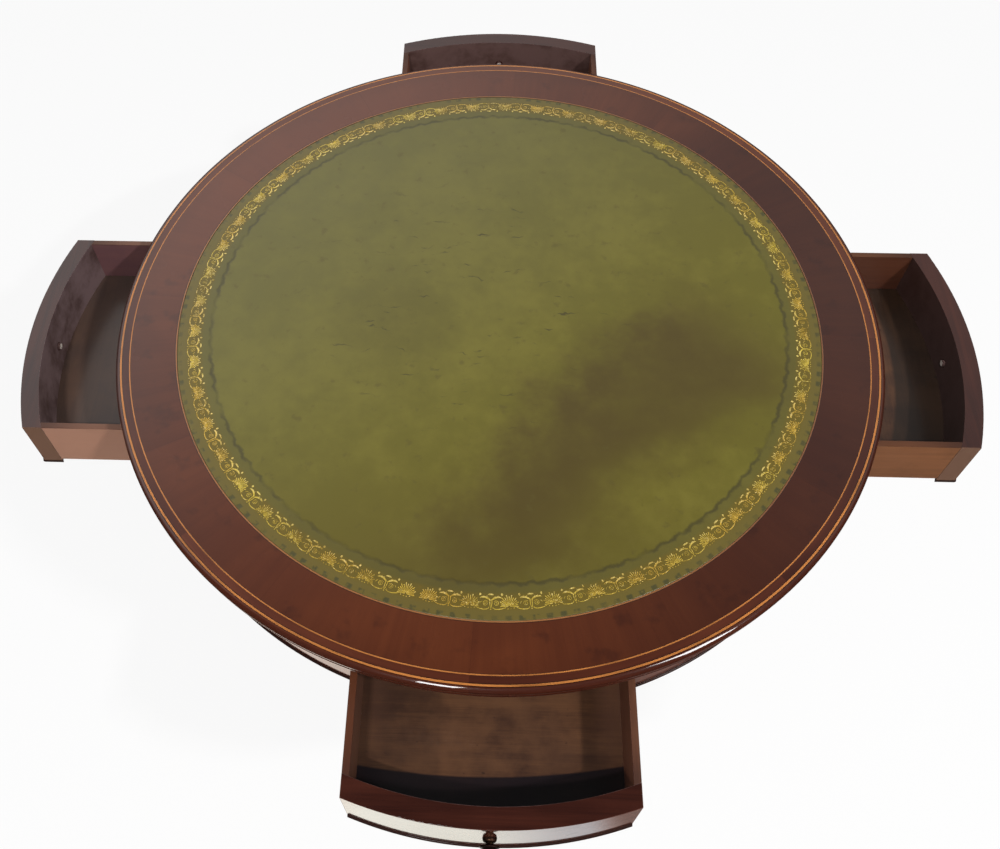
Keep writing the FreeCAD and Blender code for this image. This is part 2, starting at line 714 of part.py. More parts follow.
def make_fork():
    """Swivelling fork: plate with its pin, and two cheeks that trail to the axle."""
    plate = disc(FORK_PLATE_DIAMETER / 2, FORK_PLATE_BOTTOM, FORK_TOP)
    pin = disc(PIVOT_DIAMETER / 2, FORK_PLATE_BOTTOM, FORK_TOP + PIVOT_LENGTH)
    ear = FORK_EAR_DIAMETER / 2
    corners = [
        (-FORK_HEEL, FORK_TOP),
        (FORK_TOE, FORK_TOP),
        (WHEEL_TRAIL + ear, AXLE_LEVEL),
        (WHEEL_TRAIL - ear, AXLE_LEVEL),
    ]
    inner = WHEEL_WIDTH / 2 + SIDE_GAP
    outer = inner + FORK_CHEEK_THICKNESS
    arm = plank(outline(corners[0], corners[1:]), 2 * outer)
    lug = lying_y(ear, 2 * outer, WHEEL_TRAIL)
    wide = FORK_PLATE_DIAMETER + WHEEL_DIAMETER
    gap = slab((-wide, wide), (-inner, inner), (-OVERRUN, FORK_PLATE_BOTTOM))
    bore = lying_y(AXLE_DIAMETER / 2, 2 * outer, WHEEL_TRAIL)
    fork = arm.fuse(lug).cut([gap, bore]).fuse([plate, pin]).removeSplitter()
    return moved(fork, PIVOT_REACH, 0, 0)


def lying_y(radius, length, x):
    """Cylinder along Y at the axle's level, centred on Y = 0."""
    return Part.makeCylinder(radius, length, Vector(x, -length / 2, AXLE_LEVEL), Vector(0, 1, 0))


def make_axle():
    """Axle pin with a riveted head at each end."""
    width = WHEEL_WIDTH + 2 * (SIDE_GAP + FORK_CHEEK_THICKNESS)
    pin = lying_y(AXLE_DIAMETER / 2, width + 2 * AXLE_HEAD_LENGTH, AXLE_REACH)
    heads = lying_y(AXLE_HEAD_DIAMETER / 2, width + 2 * AXLE_HEAD_LENGTH, AXLE_REACH)
    middle = slab((0, TOP_RADIUS), (-width / 2, width / 2), (-OVERRUN, DESK_HEIGHT))
    return pin.fuse(heads.cut(middle)).removeSplitter()


def make_wheel():
    """Turned brass wheel with dished faces and a rounded tread."""
    half = WHEEL_WIDTH / 2
    rim = WHEEL_DIAMETER / 2
    bore = AXLE_DIAMETER / 2 + PIVOT_GAP
    hub = WHEEL_HUB_DIAMETER / 2
    dish_end = rim - WHEEL_RIM_DEPTH
    corner = WHEEL_TREAD_ROUND * (1 - math.sqrt(0.5))
    low = (
        (rim - corner, -half + corner),
        (rim, -half + WHEEL_TREAD_ROUND),
    )
    high = (
        (rim - corner, half - corner),
        (rim - WHEEL_TREAD_ROUND, half),
    )
    profile = outline(
        (bore, -half),
        [
            (hub, -half),
            (hub, -half + WHEEL_DISH),
            (dish_end, -half + WHEEL_DISH),
            (dish_end, -half),
            (rim - WHEEL_TREAD_ROUND, -half),
            low,
            (rim, half - WHEEL_TREAD_ROUND),
            high,
            (dish_end, half),
            (dish_end, half - WHEEL_DISH),
            (hub, half - WHEEL_DISH),
            (hub, half),
            (bore, half),
        ],
    )
    wheel = turned(profile)
    wheel.rotate(Vector(0, 0, 0), Vector(1, 0, 0), 90)
    return moved(wheel, AXLE_REACH, 0, AXLE_LEVEL)


# The whole desk

def drawer_nodes():
    """Every drawer's pieces, opened as shown and turned to its side."""
    nodes = {}
    drawer = make_drawer()
    for side, angle in SIDES.items():
        for piece, solids in drawer.items():
            out = [moved(solid, SHOWN_OPENING[side], 0, 0) for solid in solids]
            nodes[f"{side}_drawer_{piece}"] = [turned_to(solid, angle) for solid in out]
    return nodes


def pedestal_nodes():
    """Column, bearer, spindle, legs, plate and castors."""
    screws = make_plate_screws()
    whole_leg = make_leg()
    fork = make_fork()
    cup = make_cup(whole_leg)
    leg = whole_leg.cut(pivot_bore())
    legs = {side: turned_to(leg, angle).cut(screws) for side, angle in SIDES.items()}
    nodes = {
        "column": [make_column(list(legs.values()), screws)],
        "bearer": [make_bearer()],
        "spindle": [make_spindle()],
        "leg_plate": [make_leg_plate().cut(screws)],
        "plate_screws": screws,
        "castor_cups": [turned_to(cup, angle) for angle in SIDES.values()],
    }
    for side, angle in SIDES.items():
        nodes[f"{side}_leg"] = [legs[side]]
        nodes[f"{side}_castor_fork"] = [turned_to(fork, angle)]
        nodes[f"{side}_castor_axle"] = [turned_to(make_axle(), angle)]
        nodes[f"{side}_castor_wheel"] = [turned_to(make_wheel(), angle)]
    return nodes


def drum_nodes():
    """Top and drum, which turn together on the spindle."""
    screws = make_top_screws()
    nodes = {
        "top_board": [make_top_board().cut(screws)],
        "edge_band": [make_edge_band()],
        "crossband": [make_crossband()],
        "stringing": make_stringing(),
        "leather_panel": [make_leather()],
        "upper_board": [make_upper_board()],
        "lower_board": [make_lower_board()],
        "drawer_cheeks": make_cheeks(),
        "core_block": [make_core_block()],
        "top_screws": screws,
    }
    for quadrant, angle in QUADRANTS.items():
        nodes[f"frieze_{quadrant}"] = [make_frieze_panel(angle)]
    return nodes


def all_nodes():
    return {**drum_nodes(), **drawer_nodes(), **pedestal_nodes()}


def main():
    os.makedirs("parts", exist_ok=True)
    for name, solids in all_nodes().items():
        shape = solids[0] if len(solids) == 1 else Part.makeCompound(solids)
        shape.exportStep(f"parts/{name}.step")


if __name__ == "__main__":
    main()
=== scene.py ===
"""Looks of a round drum desk: its inlaid leather top, drawers, turned pedestal and castors."""

import json
import math

import bpy
from mathutils import Matrix, Vector

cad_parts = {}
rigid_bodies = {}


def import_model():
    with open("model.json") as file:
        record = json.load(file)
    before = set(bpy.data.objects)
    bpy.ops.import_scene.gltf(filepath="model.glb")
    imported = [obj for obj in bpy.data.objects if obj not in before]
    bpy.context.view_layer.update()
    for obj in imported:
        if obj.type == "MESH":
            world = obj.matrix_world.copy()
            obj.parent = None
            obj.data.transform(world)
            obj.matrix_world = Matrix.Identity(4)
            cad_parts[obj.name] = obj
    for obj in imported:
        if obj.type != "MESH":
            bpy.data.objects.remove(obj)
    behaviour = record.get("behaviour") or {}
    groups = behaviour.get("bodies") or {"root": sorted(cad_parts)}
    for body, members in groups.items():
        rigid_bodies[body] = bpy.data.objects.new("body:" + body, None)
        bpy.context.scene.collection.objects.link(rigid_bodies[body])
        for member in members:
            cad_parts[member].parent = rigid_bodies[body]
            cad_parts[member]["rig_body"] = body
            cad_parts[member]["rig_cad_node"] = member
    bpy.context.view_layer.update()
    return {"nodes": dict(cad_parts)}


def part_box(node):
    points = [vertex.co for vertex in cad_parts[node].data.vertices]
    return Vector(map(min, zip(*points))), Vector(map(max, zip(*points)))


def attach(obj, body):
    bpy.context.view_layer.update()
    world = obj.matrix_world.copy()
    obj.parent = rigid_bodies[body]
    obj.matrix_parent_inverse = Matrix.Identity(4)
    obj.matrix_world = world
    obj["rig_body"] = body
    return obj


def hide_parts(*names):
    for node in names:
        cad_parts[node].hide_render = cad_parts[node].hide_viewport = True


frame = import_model()

bl_info = {
    "name": "Drum desk",
    "version": (1, 0, 0),
    "blender": (4, 5, 0),
    "location": "3D View > Sidebar > Desk",
    "description": "Models the leather, inlay, turnings and finishes of a round drum desk over its frame",
    "category": "Object",
}

SIDES = {"right": 0, "back": 90, "left": 180, "front": 270}
QUADRANTS = ("right_back", "left_back", "left_front", "right_front")

# The thin string lies between the crossband and the edge band.
THIN_STRING = 0.0018
STRING_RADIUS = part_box("crossband")[1].x + THIN_STRING

# The finishes change at these places: at the darkened bottom bead of the drum with painted shade in the
# quirk over it, at the inner faces and the ends of the drawer fronts, and at the inner faces and the upper
# edges of the drawer sides.
BEAD_HEIGHT = 0.0052
BEAD_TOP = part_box("front_drawer_front")[0].z + BEAD_HEIGHT
BEAD_RADIUS = 0.5136
# Colour of the darkened bead and of the painted shade in the quirk over it.
BEAD_AND_QUIRK_DARK = (0.016, 0.006, 0.0045)
FRONT_INSIDE = 0.4860
FRONT_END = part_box("front_drawer_front")[1].x
SIDE_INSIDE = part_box("front_drawer_back")[1].x
DRAWER_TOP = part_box("front_drawer_front")[1].z

# Angle, in degrees, at which the grain and the tooling round the top begin and end.
RING_SEAM = 87

# The gilt was tooled in three runs that meet unevenly. Each has the angle of its first flower head, the step
# between flower heads, their number, and the hand on which the scrolls follow a flower head.
BORDER_RUNS = ((272.5, 7.05, 30, 1), (128.0, 7.10, 19, -1), (259.5, 6.7, 2, 1))

# The windows light the desk without showing in its polish. The glints show in its polish and light nothing.
LAMP_AIM = (0.0, 0.0, 0.72)
WINDOW_SIZE = (0.45, 0.12)
WINDOWS = (("front_window", (-0.86, -2.99, 5.31), 130.0), ("right_window", (2.85, -2.36, 4.79), 158.0))
GLINTS = (
    ("front_glint", (-0.81, -3.88, 4.36), (0.70, 2.20), 115.0),
    ("side_glint", (2.92, -2.59, 3.53), (0.95, 2.40), 165.0),
)

CAMERA_PLACE = (-0.0194, -0.8894, 1.9458)
CAMERA_AHEAD = (-0.0312, 0.5419, -0.8399)
CAMERA_RIGHT = (0.9993, 0.0339, -0.0153)
CAMERA_LENS = 37.52
CAMERA_SENSOR = 36.0
CAMERA_SHIFT = (0.0508, -0.0352)


def length(name, default, description):
    """Property for a length in metres."""
    return bpy.props.FloatProperty(
        name=name, description=description, default=default, precision=4, unit="LENGTH", subtype="DISTANCE"
    )


def count(name, default, description):
    """Property for a number of repeats."""
    return bpy.props.IntProperty(name=name, description=description, default=default, min=1)


def colour(name, default, description):
    """Property for a linear colour."""
    return bpy.props.FloatVectorProperty(
        name=name, description=description, default=default, size=3, min=0.0, max=1.0, subtype="COLOR"
    )


class DeskSizes(bpy.types.PropertyGroup):
    """Sizes of the modelled pieces."""

    level: length("Top level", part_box("edge_band")[1].z, "Height of the writing surface")
    underside: length("Top underside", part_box("edge_band")[0].z, "Height of the underside of the top")
    radius: length("Top radius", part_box("edge_band")[1].x, "Radius over the moulded edge")
    leather_radius: length("Leather radius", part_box("leather_panel")[1].x, "Radius of the leather")
    crossband_radius: length("Crossband radius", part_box("crossband")[1].x, "Outer radius of the crossband")
    band_inner: length("Edge band inside", STRING_RADIUS, "Inner radius of the moulded edge band")
    leather_string: length("Leather string", 0.0022, "Width of the pale line round the leather")
    outer_string: length("Outer string", 0.0025, "Width of the thick pale line in the edge band")
    outer_inset: length("Outer string inset", 0.0072, "Distance of the thick pale line from the edge")
    inlay_depth: length("Inlay depth", 0.0020, "Depth of the inlaid pieces")
    nose_height: length("Nose height", 0.0150, "Height of the rounded nose of the edge")
    nose_depth: length("Nose depth", 0.0058, "How far the nose stands out")
    quirk_depth: length("Quirk depth", 0.0068, "Depth of the groove under the nose")
    quirk_height: length("Quirk height", 0.0016, "Height of the groove under the nose")
    reed_depth: length("Reed depth", 0.0019, "How far the reed lies behind the nose")
    reed_foot: length("Reed foot", 0.0012, "Height of the step under the reed")
    arris: length("Arris", 0.0007, "Rounding of the wooden edges")
    front_arris: length("Front arris", 0.0004, "Rounding of the edges of the drawer fronts")
    metal_arris: length("Metal arris", 0.0005, "Rounding of the metal edges")
    leather_drop: length("Leather drop", 0.0003, "How far the leather lies below the wood")
    border_radius: length("Border radius", 0.4261, "Radius of the middle of the gilt border")
    wave_count: count("Waves", 104, "Waves of the blind line round the top")
    wave_radius: length("Wavy line radius", 0.4025, "Radius of the blind wavy line")
    dash_count: count("Dashes", 170, "Dashes of the blind row round the top")
    dash_radius: length("Dash radius", 0.4462, "Radius of the row of blind dashes")
    knob_head: length("Knob head", 0.0235, "Diameter of a knob's head")
    knob_base: length("Knob base", 0.0170, "Diameter of a knob's base")
    knob_neck: length("Knob neck", 0.0090, "Diameter of a knob's neck")
    knob_reach: length("Knob reach", 0.0145, "How far a knob stands out")
    turning_steps: count("Turning steps", 240, "Corners round the rings of the top")


class DeskColours(bpy.types.PropertyGroup):
    """Linear colours of the finishes."""

    mahogany_dark: colour("Mahogany dark", (0.046, 0.0105, 0.0058), "Dark streaks of the mahogany")
    mahogany_light: colour("Mahogany light", (0.125, 0.0310, 0.0130), "Light streaks of the mahogany")
    front_dark: colour("Front dark", (0.024, 0.0065, 0.0048), "Dark streaks of the drawer fronts")
    front_light: colour("Front light", (0.066, 0.0175, 0.0105), "Light streaks of the drawer fronts")
    crossband_dark: colour("Crossband dark", (0.066, 0.0148, 0.0060), "Dark streaks of the crossband")
    crossband_light: colour("Crossband light", (0.130, 0.0330, 0.0110), "Light streaks of the crossband")
    string: colour("String", (0.520, 0.1900, 0.0460), "Boxwood lines under old polish")
    leather: colour("Leather", (0.1260, 0.1080, 0.0085), "Olive green leather")
    leather_worn: colour("Worn leather", (0.1640, 0.1410, 0.0150), "Rubbed patches of the leather")
    # Colour of the patch of painted shade on the leather.
    leather_painted_shade: colour("Browned leather", (0.0760, 0.0520, 0.0050), "Browned patina of the leather")
    gilt: colour("Gilt", (0.720, 0.4500, 0.0650), "Gold tooling")
    lining_dark: colour("Lining dark", (0.115, 0.0420, 0.0200), "Dark grain of the drawer sides")
    lining_light: colour("Lining light", (0.250, 0.1000, 0.0440), "Light grain of the drawer sides")
    front_inside: colour("Inside of fronts", (0.140, 0.0800, 0.0720), "Stained faces inside the drawers")
    bottom_dark: colour("Bottom dark", (0.046, 0.0200, 0.0120), "Dark grain of the drawer bottoms")
    bottom_light: colour("Bottom light", (0.118, 0.0520, 0.0240), "Worn grain of the drawer bottoms")
    carcase_dark: colour("Carcase dark", (0.160, 0.0900, 0.0450), "Dark grain of the plain boards")
    carcase_light: colour("Carcase light", (0.330, 0.2050, 0.1100), "Light grain of the plain boards")
    knob_brass: colour("Knob brass", (0.130, 0.0720, 0.0380), "Bright places of the old brass knobs")
    knob_tarnish: colour("Knob tarnish", (0.024, 0.0110, 0.0090), "Tarnish of the old brass knobs")
    # The bright colour of the studs' ends is a painted glint.
    stud: colour("Stud", (0.750, 0.6600, 0.5900), "Bright ends of the knobs' studs")
    castor_brass: colour("Castor brass", (0.600, 0.4100, 0.1600), "Rubbed brass of the castors")
    castor_tarnish: colour("Castor tarnish", (0.170, 0.0950, 0.0350), "Tarnish of the castors")
    steel: colour("Steel", (0.300, 0.2950, 0.2900), "Dull steel")
    floor: colour("Floor", (0.900, 0.9000, 0.9000), "Plain pale floor")


# Shader nodes

class Value:
    """One output of a shader node, which Python sums turn into Math nodes."""

    def __init__(self, nodes, socket):
        self.nodes = nodes
        self.socket = socket

    def __add__(self, other):
        return self.nodes.maths("ADD", self, other)

    def __sub__(self, other):
        return self.nodes.maths("SUBTRACT", self, other)

    def __rsub__(self, other):
        return self.nodes.maths("SUBTRACT", other, self)

    def __mul__(self, other):
        return self.nodes.maths("MULTIPLY", self, other)

    def __truediv__(self, other):
        return self.nodes.maths("DIVIDE", self, other)

    __radd__ = __add__
    __rmul__ = __mul__


class Nodes:
    """Nodes of one material or world, made from Python expressions."""

    def __init__(self, tree):
        self.tree = tree

    def node(self, kind, settings=None, sockets=None):
        """Adds a node, sets it, feeds its sockets and returns its outputs as values."""
        node = self.tree.nodes.new(kind)
        for setting, value in (settings or {}).items():
            setattr(node, setting, value)
        for socket, value in (sockets or {}).items():
            self.feed(node.inputs[socket], value)
        return [Value(self, output) for output in node.outputs]

    def feed(self, socket, value):
        """Links a value to a socket, or sets the socket to a plain number or colour."""
        if isinstance(value, Value):
            self.tree.links.new(value.socket, socket)
        elif socket.type == "RGBA":
            socket.default_value = (*value[:3], 1.0)
        else:
            socket.default_value = value

    def maths(self, operation, *values):
        return self.node("ShaderNodeMath", {"operation": operation}, dict(enumerate(values)))[0]

    def smooth(self, value, low, high):
        """0 below low, 1 above high, and a smooth step between."""
        sockets = {"Value": value, "From Min": low, "From Max": high}
        return self.node("ShaderNodeMapRange", {"interpolation_type": "SMOOTHSTEP"}, sockets)[0]

    def near(self, value, width):
        """1 where a value is about nought, fading out at a width."""
        return 1.0 - self.smooth(self.maths("ABSOLUTE", value), width * 0.45, width)

    def distance(self, x, y):
        """Length of a step of x and y."""
        return self.maths("SQRT", x * x + y * y)

    def vector(self, x, y, z):
        return self.node("ShaderNodeCombineXYZ", sockets={0: x, 1: y, 2: z})[0]

    def noise(self, vector, scale, detail=2.0, roughness=0.5):
        """Noise with so many lumps to the metre along each axis of a vector."""
        scaled = self.node("ShaderNodeVectorMath", {"operation": "MULTIPLY"}, {0: vector, 1: scale})[0]
        sockets = {"Vector": scaled, "Scale": 1.0, "Detail": detail, "Roughness": roughness}
        return self.node("ShaderNodeTexNoise", sockets=sockets)[0]

    def blend(self, first, second, share):
        """Colour between two colours."""
        return self.node("ShaderNodeMix", {"data_type": "RGBA"}, {0: share, 6: first, 7: second})[2]

    def coats(self, shade, *coats):
        """Colour after (colour, share) coats, laid over it one after another."""
        for coat, share in coats:
            shade = self.blend(shade, coat, share)
        return shade

    def sight(self):
        """1 where the camera looks, and 1 where polish reflects."""
        path = self.node("ShaderNodeLightPath")
        return path[0], path[3]


class Finish(Nodes):
    """One material on its piece's own coordinates, in metres."""

    def __init__(self, name, constants):
        self.material = bpy.data.materials.new(name)
        self.material.use_nodes = True
        super().__init__(self.material.node_tree)
        self.shader = self.tree.nodes["Principled BSDF"]
        for socket, value in constants.items():
            self.feed(self.shader.inputs[socket], value)
        self.place = self.node("ShaderNodeTexCoord")[3]
        self.x, self.y, self.z = self.node("ShaderNodeSeparateXYZ", sockets={0: self.place})

    def polar(self, seam):
        """Radius and angle about the Z axis; the angle jumps at the seam, in degrees."""
        turn = math.radians(180 - seam)
        x = self.x * math.cos(turn) - self.y * math.sin(turn)
        y = self.x * math.sin(turn) + self.y * math.cos(turn)
        return self.distance(self.x, self.y), self.maths("ARCTAN2", y, x)

    def lumps(self, scale, detail=2.0, roughness=0.5):
        """Noise with so many lumps to the metre all ways over the piece."""
        return self.noise(self.place, (scale, scale, scale), detail, roughness)

    def polish(self):
        """Roughness of a rubbed polish."""
        return 0.20 + self.lumps(14.0, 3.0) * 0.14

    def leftward(self):
        """1 on pieces at the left of the desk and 0 on those at its right."""
        return 1.0 - self.smooth(self.x, -0.2, 0.2)

    def made(self, colour, roughness, height=None, depth=0.0, metallic=None):
        """Feeds the shader and returns the material."""
        self.feed(self.shader.inputs["Base Color"], colour)
        self.feed(self.shader.inputs["Roughness"], roughness)
        if metallic is not None:
            self.feed(self.shader.inputs["Metallic"], metallic)
        if height is not None:
            sockets = {"Strength": 1.0, "Distance": depth, "Height": height}
            self.feed(self.shader.inputs["Normal"], self.node("ShaderNodeBump", sockets=sockets)[0])
        return self.material


POLISHED = {"Coat Weight": 1.0, "Coat Roughness": 0.035, "Coat IOR": 1.5, "Specular IOR Level": 0.08}
FINISHES = {}


def finish(name):
    """The material of that name, made when it is first asked for."""
    if name not in FINISHES:
        colours = bpy.context.scene.desk_colours
        sizes = bpy.context.scene.desk_sizes
        FINISHES[name] = MAKERS[name](name, colours, sizes)
    return FINISHES[name]


def darker(shade, share):
    """Colour with a share of its strength."""
    return tuple(part * share for part in shade)


def run_of_grain(nodes, way):
    """Vector whose first axis lies along the grain."""
    x, y, z = nodes.x, nodes.y, nodes.z
    return nodes.vector(*{"x": (x, y, z), "y": (y, x, z), "z": (z, x, y)}[way])


def mahogany_figure(nodes, grain, dark, light, spread=0.30):
    """Colour and fine relief of mahogany along a vector's first axis; a wide spread softens the streaks."""
    drift = nodes.noise(grain, (1.6, 5.0, 5.0), 1.0)
    cloud = nodes.noise(grain, (7.0, 16.0, 16.0), 2.0, 0.55)
    streak = nodes.noise(grain, (2.2, 95.0, 95.0), 3.0, 0.6)
    fibre = nodes.noise(grain, (26.0, 900.0, 900.0), 2.0)
    pores = nodes.smooth(nodes.noise(grain, (60.0, 1500.0, 1500.0), 1.0), 0.60, 0.74)
    tone = drift * 0.28 + cloud * 0.32 + streak * 0.32 + fibre * 0.08
    shade = nodes.blend(dark, light, nodes.smooth(tone, 0.51 - spread / 2, 0.51 + spread / 2))
    return nodes.blend(shade, darker(dark, 0.45), pores * 0.16), streak


def ring_figure(nodes, seam, joints, dark, light):
    """Colour, relief and radius of mahogany in lengths that are jointed round the Z axis."""
    radius, angle = nodes.polar(seam)
    lengths = nodes.maths("FLOOR", (angle / math.tau + 0.5) * joints)
    tone = nodes.node("ShaderNodeTexWhiteNoise", {"noise_dimensions": "1D"}, {"W": lengths + 0.5})[0]
    grain = nodes.vector(angle * 0.525 + lengths * 3.7, nodes.z, radius)
    shade, relief = mahogany_figure(nodes, grain, dark, light)
    return nodes.blend(shade, dark, tone * 0.35), relief, radius


def plain_grain(nodes, grain, dark, light):
    """Colour and relief of a plainer, open-grained timber along the first axis of a vector."""
    cloud = nodes.noise(grain, (3.0, 9.0, 9.0), 2.0)
    streak = nodes.noise(grain, (2.6, 150.0, 150.0), 3.0, 0.6)
    fibre = nodes.noise(grain, (40.0, 1300.0, 1300.0), 1.0)
    tone = cloud * 0.40 + streak * 0.40 + fibre * 0.20
    return nodes.blend(dark, light, nodes.smooth(tone, 0.35, 0.66)), fibre


def dark_bead_and_quirk_shade(nodes):
    """Share of darkening: painted shade in the quirk over the bottom bead, and the bead itself darker."""
    quirk = nodes.near(nodes.z - BEAD_TOP, 0.0016)
    bead = 1.0 - nodes.smooth(nodes.z, BEAD_TOP - 0.0008, BEAD_TOP + 0.0002)
    return nodes.maths("MAXIMUM", quirk * 0.9, bead * 0.85)


def slant_axes(nodes, start, end):
    """Distances along and across a line over the top, measured from its start in X and Y."""
    run = Vector(end) - Vector(start)
    run.normalize()
    x, y = nodes.x - start[0], nodes.y - start[1]
    return x * run.x + y * run.y, x * run.y - y * run.x


def make_mahogany(name, colours, way):
    """Mahogany with an old, rubbed polish, which shows lamps as soft lights only."""
    made = Finish(name, {**POLISHED, "Coat Roughness": 0.26})
    grain = run_of_grain(made, way)
    shade, relief = mahogany_figure(made, grain, colours.mahogany_dark, colours.mahogany_light)
    return made.made(shade, made.polish(), relief, 0.000012)


def make_front(name, colours, way):
    """Polished mahogany of the drawer fronts, stained inside with painted light in the left front and
    painted shade in the right one, unpolished at the ends, with the bead darkened and painted shade in the
    quirk over it.
    """
    made = Finish(name, POLISHED)
    grain = run_of_grain(made, way)
    shade, relief = mahogany_figure(made, grain, colours.front_dark, colours.front_light)
    out, along = (made.y, made.x) if way == "x" else (made.x, made.y)
    node = "back_drawer_front" if way == "x" else "right_drawer_front"
    opening = max(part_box(node)[1][:2]) - BEAD_RADIUS
    radius = made.distance(made.maths("ABSOLUTE", out) - opening, along)
    inside = 1.0 - made.smooth(radius, FRONT_INSIDE + 0.00005, FRONT_INSIDE + 0.0003)
    ends = made.smooth(made.maths("ABSOLUTE", along), FRONT_END - 0.0006, FRONT_END - 0.0001)
    face = made.smooth(radius, BEAD_RADIUS - 0.0034, BEAD_RADIUS - 0.0028)
    darkening = dark_bead_and_quirk_shade(made)
    inside_stain_lit_and_shaded = colours.front_inside
    # Inside the side drawers' fronts, painted light lightens the left one and painted shade darkens the
    # right one.
    if way == "y":
        inside_stain_lit_and_shaded = made.blend((0.080, 0.0420, 0.0370), (0.215, 0.1430, 0.1430), made.leftward())
    grime = made.smooth(made.lumps(16.0, 4.0, 0.65), 0.40, 0.70)
    shade = made.coats(
        shade,
        (made.blend(inside_stain_lit_and_shaded, (0.055, 0.0260, 0.0200), grime * 0.8), inside),
        ((0.165, 0.0880, 0.0560), ends * (1.0 - inside)),
        ((0.110, 0.0260, 0.0120), face * 0.5),
        (BEAD_AND_QUIRK_DARK, darkening),
    )
    dull = made.maths("MAXIMUM", made.maths("MAXIMUM", inside * 0.75, ends), darkening)
    made.feed(made.shader.inputs["Coat Weight"], 1.0 - dull)
    return made.made(shade, made.polish() + dull * 0.25, relief, 0.000005)


def make_frieze(name, colours, sizes):
    """Polished mahogany of the frieze, its grain along the ring, with the bottom bead darkened and painted
    shade in the quirk over it.
    """
    made = Finish(name, POLISHED)
    shade, relief, _ = ring_figure(made, 0, len(QUADRANTS), colours.mahogany_dark, colours.mahogany_light)
    darkening = dark_bead_and_quirk_shade(made)
    shade = made.coats(shade, ((0.125, 0.0290, 0.0125), 0.5), (BEAD_AND_QUIRK_DARK, darkening))
    made.feed(made.shader.inputs["Coat Weight"], 1.0 - darkening)
    return made.made(shade, made.polish() + darkening * 0.25, relief, 0.000005)


def make_edge(name, colours, sizes):
    """Moulded edge, its grain along the ring, with painted light on the far side, painted shade on the near
    side, on the nose and in the quirk, and dark lines next to the thick string.
    """
    made = Finish(name, POLISHED)
    shade, _, radius = ring_figure(made, RING_SEAM, 8, colours.mahogany_dark, colours.mahogany_light)
    string = sizes.radius - sizes.outer_inset
    quirk = made.near(made.z - (sizes.level - sizes.nose_height - sizes.quirk_height / 2), 0.0026)
    seam = made.near(radius - string - 0.0003, 0.0009)
    seam = seam + made.near(radius - string + sizes.outer_string + 0.0003, 0.0009)
    far = made.smooth(made.y, -0.10, 0.35)
    near_side = 1.0 - made.smooth(made.y + made.maths("ABSOLUTE", made.x) * 0.3, -0.50, -0.34)
    nose = made.smooth(radius, string + 0.0004, string + 0.0030)
    # Painted light lightens the far side, and painted shade darkens the near side, the nose and the quirk;
    # the dark lines next to the thick string are its joints.
    shade = made.coats(
        shade,
        ((0.170, 0.0480, 0.0200), far * 0.45),
        (colours.mahogany_dark, near_side * 0.40),
        (colours.mahogany_dark, nose * 0.55),
        ((0.012, 0.005, 0.004), made.maths("MAXIMUM", quirk * 0.85, seam * 0.7)),
    )
    rubbed = made.lumps(14.0, 3.0)
    return made.made(shade, 0.20 + rubbed * 0.14, rubbed, 0.00002)


def make_crossband(name, colours, sizes):
    """Crossbanded veneer in wedge-shaped leaves, its grain running out from the middle."""
    made = Finish(name, POLISHED)
    dark, light = colours.crossband_dark, colours.crossband_light
    radius, angle = made.polar(RING_SEAM)
    share = (angle / math.tau + 0.5) * 12
    leaf = made.maths("FLOOR", share)
    tone = made.node("ShaderNodeTexWhiteNoise", {"noise_dimensions": "1D"}, {"W": leaf + 0.5})[0]
    grain = made.vector(radius + angle * 0.16 + leaf * 2.3, angle * 0.48, made.z)
    shade = mahogany_figure(made, grain, dark, light, 0.62)[0]
    flame = made.noise(made.vector(radius + angle * 0.2, angle * 0.48, leaf), (9.0, 4.0, 1.0), 2.0)
    stain = made.lumps(26.0, 3.0, 0.6)
    joint = made.near(made.maths("FRACT", share + 0.5) - 0.5, 0.0016)
    darkening = made.near(radius - sizes.crossband_radius, 0.0009)
    darkening = darkening + made.near(radius - sizes.leather_radius - sizes.leather_string, 0.0012)

    # The leaves on the right were cut from a darker part of the log, and painted sheen lightens the far left
    # ones.
    right = made.x * math.cos(math.radians(10)) - made.y * math.sin(math.radians(10))
    far_left_sheen = made.smooth((made.y * 0.77 - made.x * 0.64) / radius, 0.60, 1.0)
    shade = made.coats(
        shade,
        (dark, made.smooth(flame, 0.42, 0.66) * 0.5),
        (light, tone * 0.16),
        ((0.030, 0.0078, 0.0050), made.smooth(stain, 0.56, 0.72) * 0.40),
        ((0.022, 0.0060, 0.0045), made.smooth(right / radius, 0.15, 0.85) * 0.60),
        ((0.190, 0.0600, 0.0320), far_left_sheen * 0.40),
        ((0.040, 0.0100, 0.0050), made.smooth(radius, 0.486, 0.514) * 0.14),
        (dark, joint * 0.6),
        ((0.020, 0.007, 0.005), darkening * 0.6),
    )
    rubbed = made.lumps(11.0, 3.0)
    return made.made(shade, 0.20 + rubbed * 0.14, rubbed, 0.00002)


